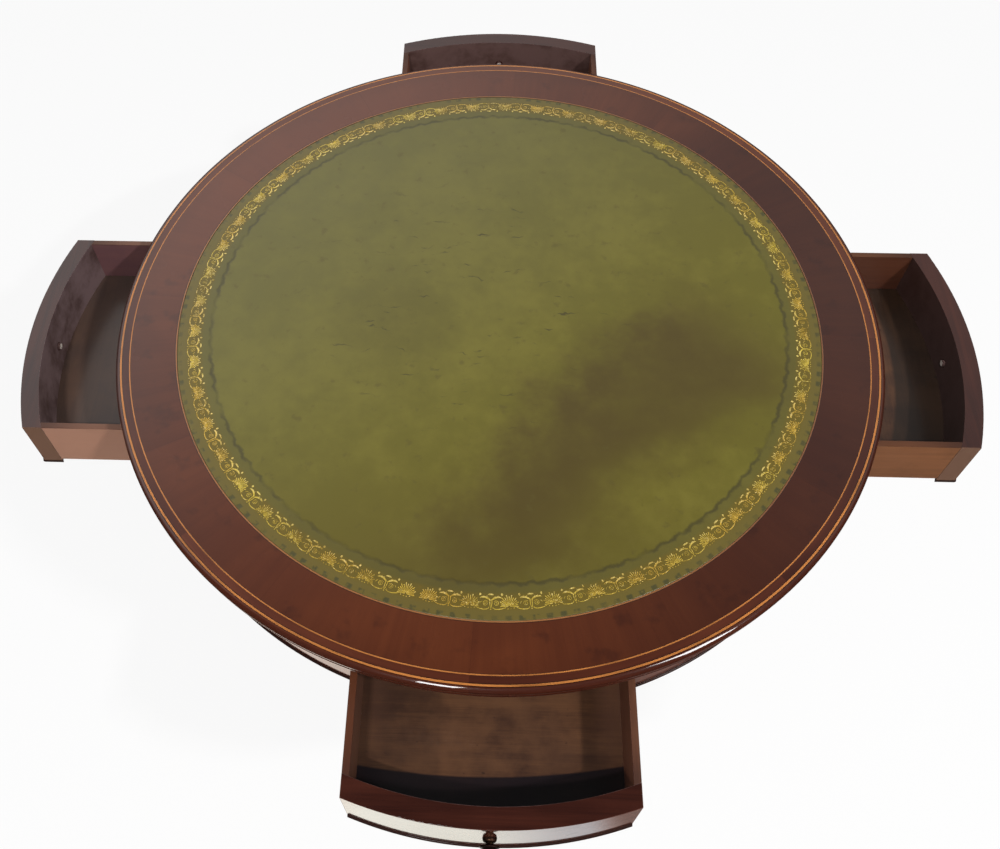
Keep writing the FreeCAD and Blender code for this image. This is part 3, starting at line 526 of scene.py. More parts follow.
def make_stringing(name, colours, sizes):
    """Boxwood lines, darkened by old polish, most of all round the leather."""
    made = Finish(name, POLISHED)
    radius, angle = made.polar(RING_SEAM)
    fibre = made.noise(made.vector(angle * 0.5, radius, made.z), (30.0, 1500.0, 1500.0), 2.0)
    patch = made.lumps(9.0)
    clean = made.smooth(fibre * 0.4 + patch * 0.6, 0.30, 0.52)
    from_thin = made.maths("ABSOLUTE", radius - sizes.band_inner + THIN_STRING / 2)
    stained = made.smooth(from_thin, 0.0003, 0.0009) * (1.0 - made.smooth(from_thin, 0.0020, 0.0030))
    inner = 1.0 - made.smooth(radius, 0.470, 0.490)
    width = sizes.leather_string
    rim = 1.0 - made.near(radius - sizes.leather_radius - width * 0.5, width * 0.46)
    shade = made.coats(
        made.blend(darker(colours.string, 0.45), colours.string, clean),
        ((0.130, 0.0420, 0.0160), stained * 0.7),
        ((0.240, 0.1100, 0.0450), inner * 0.65),
        ((0.045, 0.0190, 0.0100), inner * rim * 0.85),
        ((0.120, 0.0500, 0.0280), inner * made.smooth(made.x, 0.05, 0.40) * 0.55),
    )
    return made.made(shade, 0.26 + patch * 0.12, fibre, 0.00003)


def make_leather(name, colours, sizes):
    """Olive leather with a fine grain, creases, a patch of painted shade, painted sheen at the far left and
    blind tooled lines.
    """
    made = Finish(name, {"Specular IOR Level": 0.42, "Coat Weight": 0.45, "Coat Roughness": 0.25})
    radius, angle = made.polar(RING_SEAM)
    cloud = made.lumps(4.5, 4.0, 0.6)
    mottle = made.lumps(32.0, 4.0, 0.65)
    cloudy = made.lumps(6.5)
    ragged = made.lumps(19.0, 3.0, 0.6)
    rubbed = made.smooth(cloud * 0.6 + mottle * 0.4, 0.42, 0.66)
    shade = made.blend(colours.leather, colours.leather_worn, rubbed)

    # Painted sheen lightens and greys the far left part, the near side is browner, and a ragged patch of
    # painted shade lies slantwise over the near right part.
    greying_sheen = made.smooth(made.y * 0.8 - made.x * 0.6 + cloud * 0.1, -0.15, 0.50)
    near_side = 1.0 - made.smooth(made.y + cloudy * 0.1, -0.36, -0.14)
    browned = near_side * (0.52 - made.smooth(made.x, -0.16, 0.06) * 0.16)
    along, across = slant_axes(made, (-0.022, -0.313), (0.216, -0.065))
    bent = made.maths("MAXIMUM", along - 0.28, 0.0)
    across = across - 0.030 - bent * bent * 1.1 + (cloudy - 0.5) * 0.11 + (ragged - 0.5) * 0.11
    patch = 1.0 - made.smooth(made.maths("ABSOLUTE", across) - along * 0.10, 0.004, 0.130)
    run = made.smooth(along, -0.31, 0.04) * (1.0 - made.smooth(along, 0.38, 0.54))

    # Old folds and rubbed marks run across the middle.
    pulled = made.vector(made.x, made.y + (cloudy - ragged) * 0.05, 0.0)
    fold = made.noise(pulled, (15.0, 105.0, 1.0), 4.0, 0.66)
    middle = 1.0 - made.smooth(made.distance(made.x + 0.05, made.y - 0.03), 0.13, 0.30)
    crease = made.smooth(fold, 0.615, 0.69) * middle
    from_hand = made.distance(made.x + 0.145, made.y) + (ragged - 0.5) * 0.12
    handled = 1.0 - made.smooth(from_hand, 0.03, 0.12)
    spot = made.smooth(made.lumps(55.0, 3.0, 0.6), 0.60, 0.74)

    # Blind tooling: a wavy ragged line inside the gilt border and a row of dashes outside it.
    worn = made.smooth(made.lumps(19.0), 0.34, 0.56)
    smudge = made.lumps(150.0)
    wave = made.maths("SINE", angle * sizes.wave_count) * 0.0012 + (smudge - 0.5) * 0.0064
    from_line = made.maths("ABSOLUTE", radius - sizes.wave_radius - 0.0010 - wave)
    line = 1.0 - made.smooth(from_line, 0.0003, 0.0042)
    dash = made.near(made.maths("FRACT", angle * (sizes.dash_count / math.tau) + 100.0) - 0.5, 0.32)
    dash = dash * made.near(radius - sizes.dash_radius, 0.0042) * made.smooth(smudge, 0.34, 0.54)
    inside_gilt = made.smooth(radius, sizes.wave_radius, sizes.wave_radius + 0.004)
    outside_gilt = made.smooth(radius, sizes.border_radius + 0.004, sizes.border_radius + 0.012)
    band = made.near(radius - sizes.border_radius, 0.0135)
    shade = made.coats(
        shade,
        ((0.132, 0.1250, 0.0480), greying_sheen * 0.42),
        ((0.096, 0.0680, 0.0095), browned),
        (colours.leather_painted_shade, patch * run * (0.66 + ragged * 0.55)),
        ((0.080, 0.0620, 0.0090), handled * 0.22),
        ((0.042, 0.0330, 0.0080), crease * 0.80),
        ((0.088, 0.0680, 0.0100), spot * 0.5),
        ((0.098, 0.0820, 0.0200), inside_gilt * 0.45),
        ((0.152, 0.1060, 0.0190), outside_gilt * 0.55),
        ((0.150, 0.0960, 0.0050), band * (0.20 + smudge * 0.75)),
        ((0.040, 0.0330, 0.0090), line * (0.22 + worn * 0.48)),
        ((0.046, 0.0460, 0.0150), dash * (0.25 + worn * 0.55)),
    )

    pebble = made.node(
        "ShaderNodeTexVoronoi",
        {"feature": "SMOOTH_F1"},
        {"Vector": made.place, "Scale": 1500.0, "Smoothness": 0.6},
    )[0]
    tooled = made.maths("MAXIMUM", line, dash)
    height = pebble * 0.10 + mottle * 0.25 - crease * 0.5 - tooled * 1.2
    return made.made(shade, 0.32 + mottle * 0.16, height, 0.00012)


def make_gilt(name, colours, sizes):
    """Gold leaf pressed into leather, rubbed off in places, with painted shade on the near side and painted
    glints in its bright specks.
    """
    made = Finish(name, {"Specular IOR Level": 0.3})
    speck = made.lumps(480.0, 3.0, 0.6)
    gold = made.smooth(made.lumps(24.0, 3.0, 0.6) * 0.5 + speck * 0.5, 0.38, 0.56)
    pale = made.smooth(made.lumps(9.0, 1.0), 0.44, 0.60)
    metal = made.blend(colours.gilt, (0.780, 0.6200, 0.0900), pale * 0.7)
    radius = made.polar(RING_SEAM)[0]
    inward = 1.0 - made.smooth(radius, sizes.border_radius - 0.0070, sizes.border_radius - 0.0030)
    near_side = 1.0 - made.smooth(made.y, -0.42, -0.22)
    leftward_glint = made.smooth(made.y * 0.8 - made.x * 0.6, -0.20, 0.35)
    # Painted shade dulls the near side, and the bright specks are painted glints, more of them at the far
    # left.
    shade = made.coats(
        made.blend((0.200, 0.1300, 0.0200), metal, gold),
        ((0.860, 0.7200, 0.2600), inward * gold * 0.55),
        ((0.300, 0.1700, 0.0180), near_side * 0.34),
        ((0.900, 0.7000, 0.3000), made.smooth(speck + leftward_glint * 0.10, 0.55, 0.69) * 0.7),
    )
    return made.made(shade, 0.30 + speck * 0.2, speck, 0.00003, 0.10 + gold * 0.20)


def make_lining(name, colours, way):
    """Stained drawer sides and backs with a low sheen and patchy grime, painted shade low down, on the inner
    faces and on the upper edges, and painted sheen on outer faces.
    """
    made = Finish(name, {"Specular IOR Level": 0.30, "Coat Weight": 0.12, "Coat Roughness": 0.16})
    shade, fibre = plain_grain(made, run_of_grain(made, way), colours.lining_dark, colours.lining_light)
    grime = made.lumps(16.0, 4.0, 0.65)
    low = 1.0 - made.smooth(made.z, 0.630, 0.672)
    # Patchy grime, and painted shade that darkens the sides towards the bottom.
    shade = made.blend(shade, (0.045, 0.020, 0.011), made.smooth(grime, 0.45, 0.70) * 0.45 + low * 0.25)
    along, across = (made.x, made.y) if way == "x" else (made.y, made.x)
    across = made.maths("ABSOLUTE", across)
    inner = 1.0 - made.smooth(across, SIDE_INSIDE + 0.0002, SIDE_INSIDE + 0.0008)
    top = made.smooth(made.z, DRAWER_TOP - 0.0012, DRAWER_TOP - 0.0004)
    # Painted shade darkens the upper edges.
    top_shade = ((0.056, 0.0190, 0.0120), top * 0.62)
    if way == "x":
        left = made.leftward()
        # Painted shade darkens the inner faces, and painted sheen lightens those at the left and the outer
        # faces, most of all at the left.
        wall_shade = made.blend((0.074, 0.0200, 0.0115), (0.152, 0.0720, 0.0860), left)
        outer = made.blend((0.250, 0.0950, 0.0290), (0.425, 0.2180, 0.1440), left)
        outer_sheen_share = (1.0 - inner) * (0.45 + left * 0.40)
        shade = made.coats(shade, (wall_shade, inner * 0.75), (outer, outer_sheen_share), top_shade)
    else:
        near_left = (1.0 - made.smooth(made.x, -0.1, 0.1)) * (1.0 - made.smooth(made.y, -0.2, 0.2))
        # Painted shade darkens the inner faces, most of all at the near left, where the upper edges are
        # darker and redder with painted shade.
        wall_shade = made.blend((0.240, 0.0880, 0.0520), (0.120, 0.0520, 0.0330), near_left)
        near_left_top_shade = ((0.088, 0.0240, 0.0080), top * near_left * 0.9)
        shade = made.coats(shade, (wall_shade, inner * 0.75), top_shade, near_left_top_shade)
    # The upper edges darken towards the drawer fronts.
    outward = made.smooth(made.maths("ABSOLUTE", along), 0.555, 0.640)
    shade = made.blend(shade, (0.030, 0.0110, 0.0080), top * outward * 0.65)
    return made.made(shade, 0.36 + grime * 0.2, fibre, 0.00006)


def make_bottom(name, colours, way):
    """Thin drawer bottoms, stained dark, rubbed paler in the middle, with a worn polish."""
    made = Finish(name, {"Specular IOR Level": 0.25, "Coat Weight": 0.55, "Coat Roughness": 0.22})
    grain = run_of_grain(made, way)
    streak = made.noise(grain, (3.0, 130.0, 130.0), 3.0, 0.6)
    fibre = made.noise(grain, (40.0, 1300.0, 1300.0), 1.0)
    tone = made.lumps(11.0, 4.0, 0.6) * 0.62 + streak * 0.24 + fibre * 0.14
    across, out = (made.x, made.y) if way == "x" else (made.y * -1.0, made.x)
    narrow = made.smooth(across * made.maths("SIGN", out), 0.056, 0.066)
    middle = 1.0 - made.smooth(made.maths("ABSOLUTE", across), 0.03, 0.15)
    rub = made.lumps(18.0, 4.0, 0.65)
    spot = made.smooth(made.lumps(90.0), 0.70, 0.78)
    shade = made.coats(
        made.blend(colours.bottom_dark, colours.bottom_light, made.smooth(tone, 0.38, 0.66)),
        ((0.020, 0.0105, 0.0070), narrow * 0.28),
        (colours.bottom_light, middle * made.smooth(rub, 0.40, 0.66) * 0.6),
        ((0.014, 0.008, 0.006), spot * 0.6),
    )
    if way == "y":
        # The left drawer's bottom is paler and greyer with painted sheen, and a painted shadow lies over the
        # outer part of the right drawer's bottom.
        right_shadow = made.smooth(made.distance(made.x - 0.121, made.y - 0.042), 0.475, 0.481)
        shade = made.coats(
            shade,
            ((0.066, 0.0480, 0.0420), made.leftward() * 0.6),
            ((0.014, 0.0090, 0.0060), right_shadow * made.smooth(made.x, 0.0, 0.1) * 0.75),
        )
    else:
        # The near drawer's bottom has painted light next to its sides, and a painted shadow lies along its
        # front.
        side_light = made.smooth(made.maths("ABSOLUTE", made.x), 0.118, 0.150)
        side_light = side_light * made.smooth(made.y, -0.62, -0.50)
        side_light = side_light * (0.30 + made.smooth(made.x, -0.05, 0.05) * 0.70)
        from_middle = made.x + 0.025
        front_shadow = made.smooth(from_middle * from_middle * 0.52 - 0.5988 - made.y, -0.0005, 0.0025)
        shade = made.coats(
            shade,
            ((0.180, 0.0820, 0.0480), side_light * 0.45),
            ((0.0045, 0.0036, 0.0065), front_shadow * 0.92),
        )
    return made.made(shade, 0.36 + rub * 0.2, fibre, 0.00003)


def make_carcase(name, colours, sizes):
    """Plain unpolished boards with open grain and old dust."""
    made = Finish(name, {"Specular IOR Level": 0.3})
    shade, fibre = plain_grain(made, run_of_grain(made, "x"), colours.carcase_dark, colours.carcase_light)
    grime = made.lumps(9.0, 4.0, 0.65)
    shade = made.blend(shade, (0.075, 0.045, 0.026), made.smooth(grime, 0.46, 0.68) * 0.6)
    return made.made(shade, 0.58 + grime * 0.22, fibre, 0.00010)


def make_brass(name, bright, tarnish, share):
    """Brass with tarnish in patches and fine turning marks."""
    made = Finish(name, {"Metallic": 1.0})
    speck = made.lumps(700.0)
    old = made.smooth(made.lumps(60.0, 4.0, 0.6) * 0.7 + speck * 0.3, share - 0.14, share + 0.10)
    shade = made.blend(bright, tarnish, 1.0 - old)
    return made.made(shade, 0.26 + (1.0 - old) * 0.20 + speck * 0.08, speck, 0.000008)


def make_stained_metal(name, shade):
    """Metal under old stain or lacquer, speckled."""
    made = Finish(name, {"Specular IOR Level": 0.4})
    speck = made.lumps(700.0)
    speckled = made.blend(darker(shade, 0.6), shade, made.smooth(speck, 0.35, 0.60))
    return made.made(speckled, 0.40 + speck * 0.1, speck, 0.00003)


def make_steel(name, colours, sizes):
    """Dull steel with a little rust."""
    made = Finish(name, {"Metallic": 0.9})
    patch = made.lumps(80.0, 4.0, 0.65)
    scratch = made.noise(made.place, (60.0, 1800.0, 1800.0), 2.0)
    shade = made.blend(colours.steel, (0.110, 0.050, 0.025), made.smooth(patch, 0.54, 0.70) * 0.7)
    return made.made(shade, 0.34 + patch * 0.2, scratch, 0.00003)


MAKERS = {
    "front_mahogany_x": lambda n, c, s: make_front(n, c, "x"),
    "front_mahogany_y": lambda n, c, s: make_front(n, c, "y"),
    "mahogany_x": lambda n, c, s: make_mahogany(n, c, "x"),
    "mahogany_y": lambda n, c, s: make_mahogany(n, c, "y"),
    "mahogany_z": lambda n, c, s: make_mahogany(n, c, "z"),
    "edge_mahogany": make_edge,
    "frieze_mahogany": make_frieze,
    "crossband_veneer": make_crossband,
    "boxwood_string": make_stringing,
    "tooled_leather": make_leather,
    "worn_gilt": make_gilt,
    "lining_x": lambda n, c, s: make_lining(n, c, "x"),
    "lining_y": lambda n, c, s: make_lining(n, c, "y"),
    "bottom_x": lambda n, c, s: make_bottom(n, c, "x"),
    "bottom_y": lambda n, c, s: make_bottom(n, c, "y"),
    "carcase_board": make_carcase,
    "old_brass": lambda n, c, s: make_brass(n, c.knob_brass, c.knob_tarnish, 0.56),
    "rubbed_brass": lambda n, c, s: make_brass(n, c.castor_brass, c.castor_tarnish, 0.42),
    "stained_nut": lambda n, c, s: make_stained_metal(n, c.front_inside),
    # The stud's end gets a bright colour as a painted glint.
    "bright_stud": lambda n, c, s: make_stained_metal(n, c.stud),
    "dull_steel": make_steel,
}


# Modelling

# Angles, in degrees, past which an edge gets an arris, and past which it stays sharp on a turned piece and
# on a softened one.
ARRIS_ANGLE = 35
TURNED_CREASE = 32
SOFTENED_CREASE = 40


def clear_selection():
    bpy.ops.object.select_all(action="DESELECT")


def take(piece):
    """Makes one object the only one selected and the active one."""
    clear_selection()
    piece.select_set(True)
    bpy.context.view_layer.objects.active = piece
    return piece


def open_mesh():
    """Starts to edit the active mesh, with all of it selected."""
    bpy.ops.object.mode_set(mode="EDIT")
    bpy.ops.mesh.select_all(action="SELECT")


def close_mesh():
    bpy.ops.object.mode_set(mode="OBJECT")


def draw_line(points):
    """New object with one line of corners, drawn by extruding a single corner from point to point."""
    clear_selection()
    bpy.ops.mesh.primitive_plane_add(size=0.001)
    open_mesh()
    bpy.ops.mesh.select_mode(type="VERT")
    bpy.ops.mesh.merge(type="CENTER")
    bpy.ops.transform.translate(value=points[0])
    for here, there in zip(points, points[1:]):
        step = Vector(there) - Vector(here)
        bpy.ops.mesh.extrude_region_move(TRANSFORM_OT_translate={"value": step})
    close_mesh()
    return bpy.context.object


def turn(profile, steps, closed=False):
    """Turned piece about the Z axis from a line of (radius, height)."""
    points = [(radius, 0.0, height) for radius, height in profile]
    piece = draw_line(points + points[:1] if closed else points)
    open_mesh()
    bpy.ops.mesh.spin(steps=steps, angle=math.tau, center=(0, 0, 0), axis=(0, 0, 1))
    bpy.ops.mesh.select_all(action="SELECT")
    bpy.ops.mesh.remove_doubles(threshold=0.00002)
    bpy.ops.mesh.normals_make_consistent(inside=False)
    close_mesh()
    bpy.ops.object.shade_smooth_by_angle(angle=math.radians(TURNED_CREASE))
    return flatten(piece)


def flatten(piece):
    """Keeps the broad flats of a piece flat where they meet rounded edges."""
    flats = piece.modifiers.new("flats", "WEIGHTED_NORMAL")
    flats.keep_sharp = True
    bpy.ops.object.modifier_apply(modifier=flats.name)
    return piece


def joined(pieces):
    """Makes one object of several."""
    clear_selection()
    for piece in pieces:
        piece.select_set(True)
    bpy.context.view_layer.objects.active = pieces[0]
    bpy.ops.object.join()
    return bpy.context.object


def arc(start, via, end, steps):
    """Points after the start along the circle through three points of a profile."""
    (ax, ay), (bx, by), (cx, cy) = start, via, end
    double = 2 * (ax * (by - cy) + bx * (cy - ay) + cx * (ay - by))
    squares = (ax * ax + ay * ay, bx * bx + by * by, cx * cx + cy * cy)
    ox = (squares[0] * (by - cy) + squares[1] * (cy - ay) + squares[2] * (ay - by)) / double
    oy = (squares[0] * (cx - bx) + squares[1] * (ax - cx) + squares[2] * (bx - ax)) / double
    radius = math.hypot(ax - ox, ay - oy)
    first = math.atan2(ay - oy, ax - ox)
    middle = (math.atan2(by - oy, bx - ox) - first) % math.tau
    last = (math.atan2(cy - oy, cx - ox) - first) % math.tau
    sweep = last if middle < last else last - math.tau
    angles = [first + sweep * step / steps for step in range(1, steps + 1)]
    return [(ox + radius * math.cos(angle), oy + radius * math.sin(angle)) for angle in angles]


def soften(piece, width):
    """Rounds the arrises of a piece and shades its curves smooth."""
    take(piece)
    bevel = piece.modifiers.new("arrises", "BEVEL")
    bevel.width = width
    bevel.segments = 2
    bevel.limit_method = "ANGLE"
    bevel.angle_limit = math.radians(ARRIS_ANGLE)
    bpy.ops.object.modifier_apply(modifier=bevel.name)
    bpy.ops.object.shade_smooth_by_angle(angle=math.radians(SOFTENED_CREASE))
    return flatten(piece)


def worked_copy(node, width):
    """Copy of a CAD node with its corners joined, its flats made whole and its arrises rounded."""
    take(frame["nodes"][node])
    bpy.ops.object.duplicate()
    piece = bpy.context.object
    del piece["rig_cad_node"]
    open_mesh()
    bpy.ops.mesh.customdata_custom_splitnormals_clear()
    bpy.ops.mesh.remove_doubles(threshold=0.00001)
    bpy.ops.mesh.dissolve_limited(angle_limit=math.radians(0.4))
    close_mesh()
    return soften(piece, width)


def paint(piece, material):
    """Gives a piece one finish in place of any that it has."""
    piece.data.materials.clear()
    piece.data.materials.append(finish(material))


def label(piece, name):
    """Names a piece and its mesh."""
    piece.name = name
    piece.data.name = name


def settle(piece, name, node, material):
    """Names a finished piece, gives it its material, and lets it stand for a CAD node."""
    label(piece, name)
    paint(piece, material)
    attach(piece, frame["nodes"][node]["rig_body"])
    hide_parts(node)
    clear_selection()
    return piece


def finish_copy(node, material, width):
    """Rounded copy of a CAD node in its own finish."""
    return settle(worked_copy(node, width), f"{node}_worked", node, material)


def dress(node, material):
    """Gives a CAD node that stays as it is a better finish."""
    paint(frame["nodes"][node], material)


# Operators

class DESK_OT_edge_band(bpy.types.Operator):
    """Turn the moulded edge band of the top"""

    bl_idname = "desk.edge_band"
    bl_label = "Edge Band"

    def execute(self, context):
        sizes = context.scene.desk_sizes
        level = sizes.level
        groove_outer = sizes.radius - sizes.outer_inset
        groove_inner = groove_outer - sizes.outer_string
        floor = level - sizes.inlay_depth
        nose_start = (sizes.radius - sizes.nose_depth, level)
        nose_end = (nose_start[0], level - sizes.nose_height)
        quirk = sizes.radius - sizes.quirk_depth
        reed_start = (quirk, nose_end[1] - sizes.quirk_height)
        reed_end = (quirk, sizes.underside + sizes.reed_foot)
        reed_via = (sizes.radius - sizes.reed_depth, (reed_start[1] + reed_end[1]) / 2)
        profile = [(sizes.band_inner, sizes.underside), (sizes.band_inner, level)]
        profile += [(groove_inner, level), (groove_inner, floor)]
        profile += [(groove_outer, floor), (groove_outer, level), nose_start]
        profile += arc(nose_start, (sizes.radius, (level + nose_end[1]) / 2), nose_end, 12)
        profile += [(quirk, nose_end[1]), reed_start]
        profile += arc(reed_start, reed_via, reed_end, 10)
        profile += [(quirk, sizes.underside)]
        band = turn(profile, sizes.turning_steps, closed=True)
        settle(band, "edge_band_moulded", "edge_band", "edge_mahogany")
        return {"FINISHED"}


class DESK_OT_inlay(bpy.types.Operator):
    """Turn the crossband and the three pale strings of the top"""

    bl_idname = "desk.inlay"
    bl_label = "Crossband and Strings"

    # Drop and greatest width of the eased upper edges of a ring, in metres.
    EASE_DROP = 0.00006
    EASE_WIDTH = 0.0003

    def execute(self, context):
        sizes = context.scene.desk_sizes
        crossband_inner = sizes.leather_radius + sizes.leather_string
        crossband = self.flat_ring(sizes, crossband_inner, sizes.crossband_radius)
        settle(crossband, "crossband_veneered", "crossband", "crossband_veneer")
        outer = sizes.radius - sizes.outer_inset
        edges = [
            (sizes.leather_radius, crossband_inner),
            (sizes.crossband_radius, sizes.band_inner),
            (outer - sizes.outer_string, outer),
        ]
        strings = joined([self.flat_ring(sizes, inner, edge) for inner, edge in edges])
        settle(strings, "stringing_inlaid", "stringing", "boxwood_string")
        return {"FINISHED"}

    def flat_ring(self, sizes, inner, outer):
        """Inlaid ring with a very slightly rounded upper face."""
        floor = sizes.level - sizes.inlay_depth
        low = sizes.level - self.EASE_DROP
        ease = min(self.EASE_WIDTH, (outer - inner) / 4)
        profile = [(inner, floor), (inner, low), (inner + ease, sizes.level), (outer - ease, sizes.level)]
        return turn(profile + [(outer, low), (outer, floor)], sizes.turning_steps, closed=True)


class DESK_OT_leather(bpy.types.Operator):
    """Lay the leather panel, its edge tucked down against the string"""

    bl_idname = "desk.leather"
    bl_label = "Leather"

    # Width and depth of the tucked edge, in metres.
    TUCK_WIDTH = 0.0014
    TUCK_DEPTH = 0.0008

    def execute(self, context):
        sizes = context.scene.desk_sizes
        top = sizes.level - sizes.leather_drop
        floor = sizes.level - sizes.inlay_depth
        edge = sizes.leather_radius
        profile = [(0.0, floor), (edge, floor), (edge, top - self.TUCK_DEPTH)]
        profile += arc(profile[-1], (edge - 0.0004, top - 0.0002), (edge - self.TUCK_WIDTH, top), 4)
        profile += [(edge * share, top) for share in (0.9, 0.7, 0.5, 0.3, 0.1)] + [(0.0, top)]
        leather = turn(profile, sizes.turning_steps)
        settle(leather, "leather_tooled", "leather_panel", "tooled_leather")
        return {"FINISHED"}


class DESK_OT_gilt_border(bpy.types.Operator):
    """Tool the gilt border of flower heads and paired scrolls round the leather"""

    bl_idname = "desk.gilt_border"
    bl_label = "Gilt Border"

    # Drop of the gilt below the wood and half the width of a plain stroke, in metres.
    DROP = 0.00016
    HALF_STROKE = 0.0005

    # Height of the pressed strokes as a share of their round height.
    FLATNESS = 0.16

    # Place of a flower head's hub, in millimetres out from the middle of the border.
    HUB = 5.8

    def execute(self, context):
        sizes = context.scene.desk_sizes
        self.radius = sizes.border_radius
        self.level = sizes.level - self.DROP
        flower = joined([self.stroke(*line) for line in self.flower_head()])
        scrolls = joined([self.stroke(*line) for line in self.scroll_pair()])
        runs = [self.lay_run(flower, scrolls, *run) for run in BORDER_RUNS]
        bpy.data.objects.remove(flower)
        bpy.data.objects.remove(scrolls)
        border = joined(runs)
        open_mesh()
        bpy.ops.transform.resize(value=(1, 1, self.FLATNESS), center_override=(0, 0, self.level))
        bpy.ops.mesh.normals_make_consistent(inside=False)
        close_mesh()
        label(border, "gilt_border")
        paint(border, "worn_gilt")
        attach(border, "drum")
        clear_selection()
        return {"FINISHED"}

    def lay_run(self, flower, scrolls, first, step, repeats, hand):
        """Run of flower heads from a first angle, each with its scrolls on one hand, step by step."""
        motifs = []
        for motif, angle in ((flower, first), (scrolls, first + hand * step / 2)):
            take(motif)
            bpy.ops.object.duplicate()
            bpy.context.object.rotation_euler.z = math.radians(angle)
            bpy.ops.object.transform_apply(location=True, rotation=True, scale=True)
            motifs.append(bpy.context.object)
        run = joined(motifs)
        open_mesh()
        sweep = math.radians(step * (repeats - 1))
        bpy.ops.mesh.spin(steps=repeats - 1, angle=sweep, dupli=True, center=(0, 0, 0), axis=(0, 0, -1))
        close_mesh()
        return run

    def on_border(self, along, out):
        """Point of the top from millimetres along the border and out from its middle."""
        angle = along * 0.001 / self.radius
        radius = self.radius + out * 0.001
        return (radius * math.cos(angle), radius * math.sin(angle), self.level)

    def stroke(self, points, widths):
        """Line of tapering width, drawn as corners, made a curve, thickened and made a mesh again."""
        places = [self.on_border(*point) for point in points]
        line = draw_line(places)
        bpy.ops.object.convert(target="CURVE")
        corners = line.data.splines[0].points
        start = (corners[0].co.to_3d() - Vector(places[0])).length
        if start > (corners[0].co.to_3d() - Vector(places[-1])).length:
            widths = widths[::-1]
        for corner, width in zip(corners, widths):
            corner.radius = width
        line.data.bevel_depth = self.HALF_STROKE
        line.data.bevel_resolution = 0
        line.data.use_fill_caps = True
        bpy.ops.object.convert(target="MESH")
        return line

    def petal(self, lean, reaches):
        """Points of one petal at some reaches from the hub, leaning by so many degrees."""
        side, out = math.sin(math.radians(lean)), -math.cos(math.radians(lean))
        return [(side * reach, self.HUB + out * reach) for reach in reaches]

    def flower_head(self):
        """Fan of petals from a hub on the outer side, a shorter fan inside it, and four dots under it."""
        lines = []
        for petal in range(-7, 8):
            reach = 14.6 - 3.8 * (abs(petal) / 7) ** 1.6
            reach *= 1.0 if petal % 2 else 0.88
            reaches = (3.0, reach * 0.55, reach * 0.85, reach)
            lines.append((self.petal(13 * petal, reaches), (0.5, 0.8, 1.15, 1.25)))
        for petal in range(-3, 4):
            lines.append((self.petal(30 * petal, (1.2, 3.2, 5.4)), (0.6, 1.1, 0.5)))
        for along, out in ((-5.4, 8.0), (-1.8, 8.8), (1.8, 8.8), (5.4, 8.0)):
            lines.append(([(along - 0.6, out), (along, out), (along + 0.6, out)], (0.6, 1.3, 0.6)))
        return lines

    def scroll_pair(self):
        """Two curled scrolls on a stem, with leaves over them, swags under them, and bars and a dot."""
        lines = []
        for hand in (-1, 1):
            curl = []
            for step in range(13):
                angle = math.radians(-140 + 50 * step)
                reach = 3.7 - 2.9 * step / 12
                curl.append((hand * (6.3 + reach * math.cos(angle)), 2.2 + reach * math.sin(angle)))
            lines.append((curl, (0.45, 0.55, 0.65, 0.65, 0.6, 0.55, 0.55, 0.5, 0.5, 0.5, 0.55, 0.65, 0.8)))
            leaf = [(0.7, -1.4), (2.6, -3.4), (5.2, -5.0), (8.4, -5.8), (11.2, -5.5), (13.2, -4.5)]
            swag = [(2.4, 6.8), (2.8, 8.4), (5.4, 9.5), (9.8, 9.6), (14.2, 8.6), (18.2, 6.9)]
            strokes = [
                (leaf, (1.1, 1.8, 2.3, 2.2, 1.7, 0.6)),
                (swag, (0.4, 0.7, 1.0, 1.2, 0.9, 0.4)),
                ([(4.6, -6.4), (5.0, -7.4)], (0.6, 0.35)),
                ([(8.0, -6.5), (8.8, -7.5)], (0.6, 0.35)),
                ([(11.2, -5.4), (12.4, -6.3)], (0.6, 0.35)),
                ([(10.8, -0.6), (12.4, 0.6), (13.2, 2.4)], (0.3, 0.7, 0.3)),
                ([(0.9, -3.0), (1.3, 1.0), (0.9, 5.2), (0.3, 8.0)], (0.7, 0.9, 0.8, 0.6)),
                ([(12.2, -9.0), (12.9, -9.05), (13.9, -9.05), (14.6, -9.0)], (1.0, 3.2, 3.2, 1.0)),
            ]
            for points, widths in strokes:
                lines.append(([(hand * along, out) for along, out in points], widths))
        lines.append(([(0.0, 8.7), (0.0, 9.5), (0.0, 10.3)], (0.6, 1.4, 0.5)))
        lines.append(([(-3.6, -8.7), (-1.6, -9.1), (1.6, -9.1), (3.6, -8.7)], (0.8, 1.9, 1.9, 0.8)))
        return lines


class DESK_OT_drum(bpy.types.Operator):
    """Finish the frieze panels, the rails over the drawers and the boards inside the drum"""

    bl_idname = "desk.drum"
    bl_label = "Drum"

    def execute(self, context):
        sizes = context.scene.desk_sizes
        for quadrant in QUADRANTS:
            finish_copy(f"frieze_{quadrant}", "frieze_mahogany", sizes.arris)
        dress("upper_board", "mahogany_x")
        for node in ("top_board", "lower_board", "drawer_cheeks", "core_block"):
            dress(node, "carcase_board")
        return {"FINISHED"}


class DESK_OT_drawers(bpy.types.Operator):
    """Finish the fronts, sides, backs and bottoms of the four drawers"""

    bl_idname = "desk.drawers"
    bl_label = "Drawers"

    def execute(self, context):
        sizes = context.scene.desk_sizes
        for side, angle in SIDES.items():
            out, along = ("x", "y") if angle in (0, 180) else ("y", "x")
            drawer = f"{side}_drawer"
            finish_copy(f"{drawer}_front", f"front_mahogany_{along}", sizes.front_arris)
            for hand in ("left", "right"):
                finish_copy(f"{drawer}_{hand}_side", f"lining_{out}", sizes.arris)
            finish_copy(f"{drawer}_back", f"lining_{along}", sizes.arris)
            dress(f"{drawer}_bottom", f"bottom_{along}")
        return {"FINISHED"}


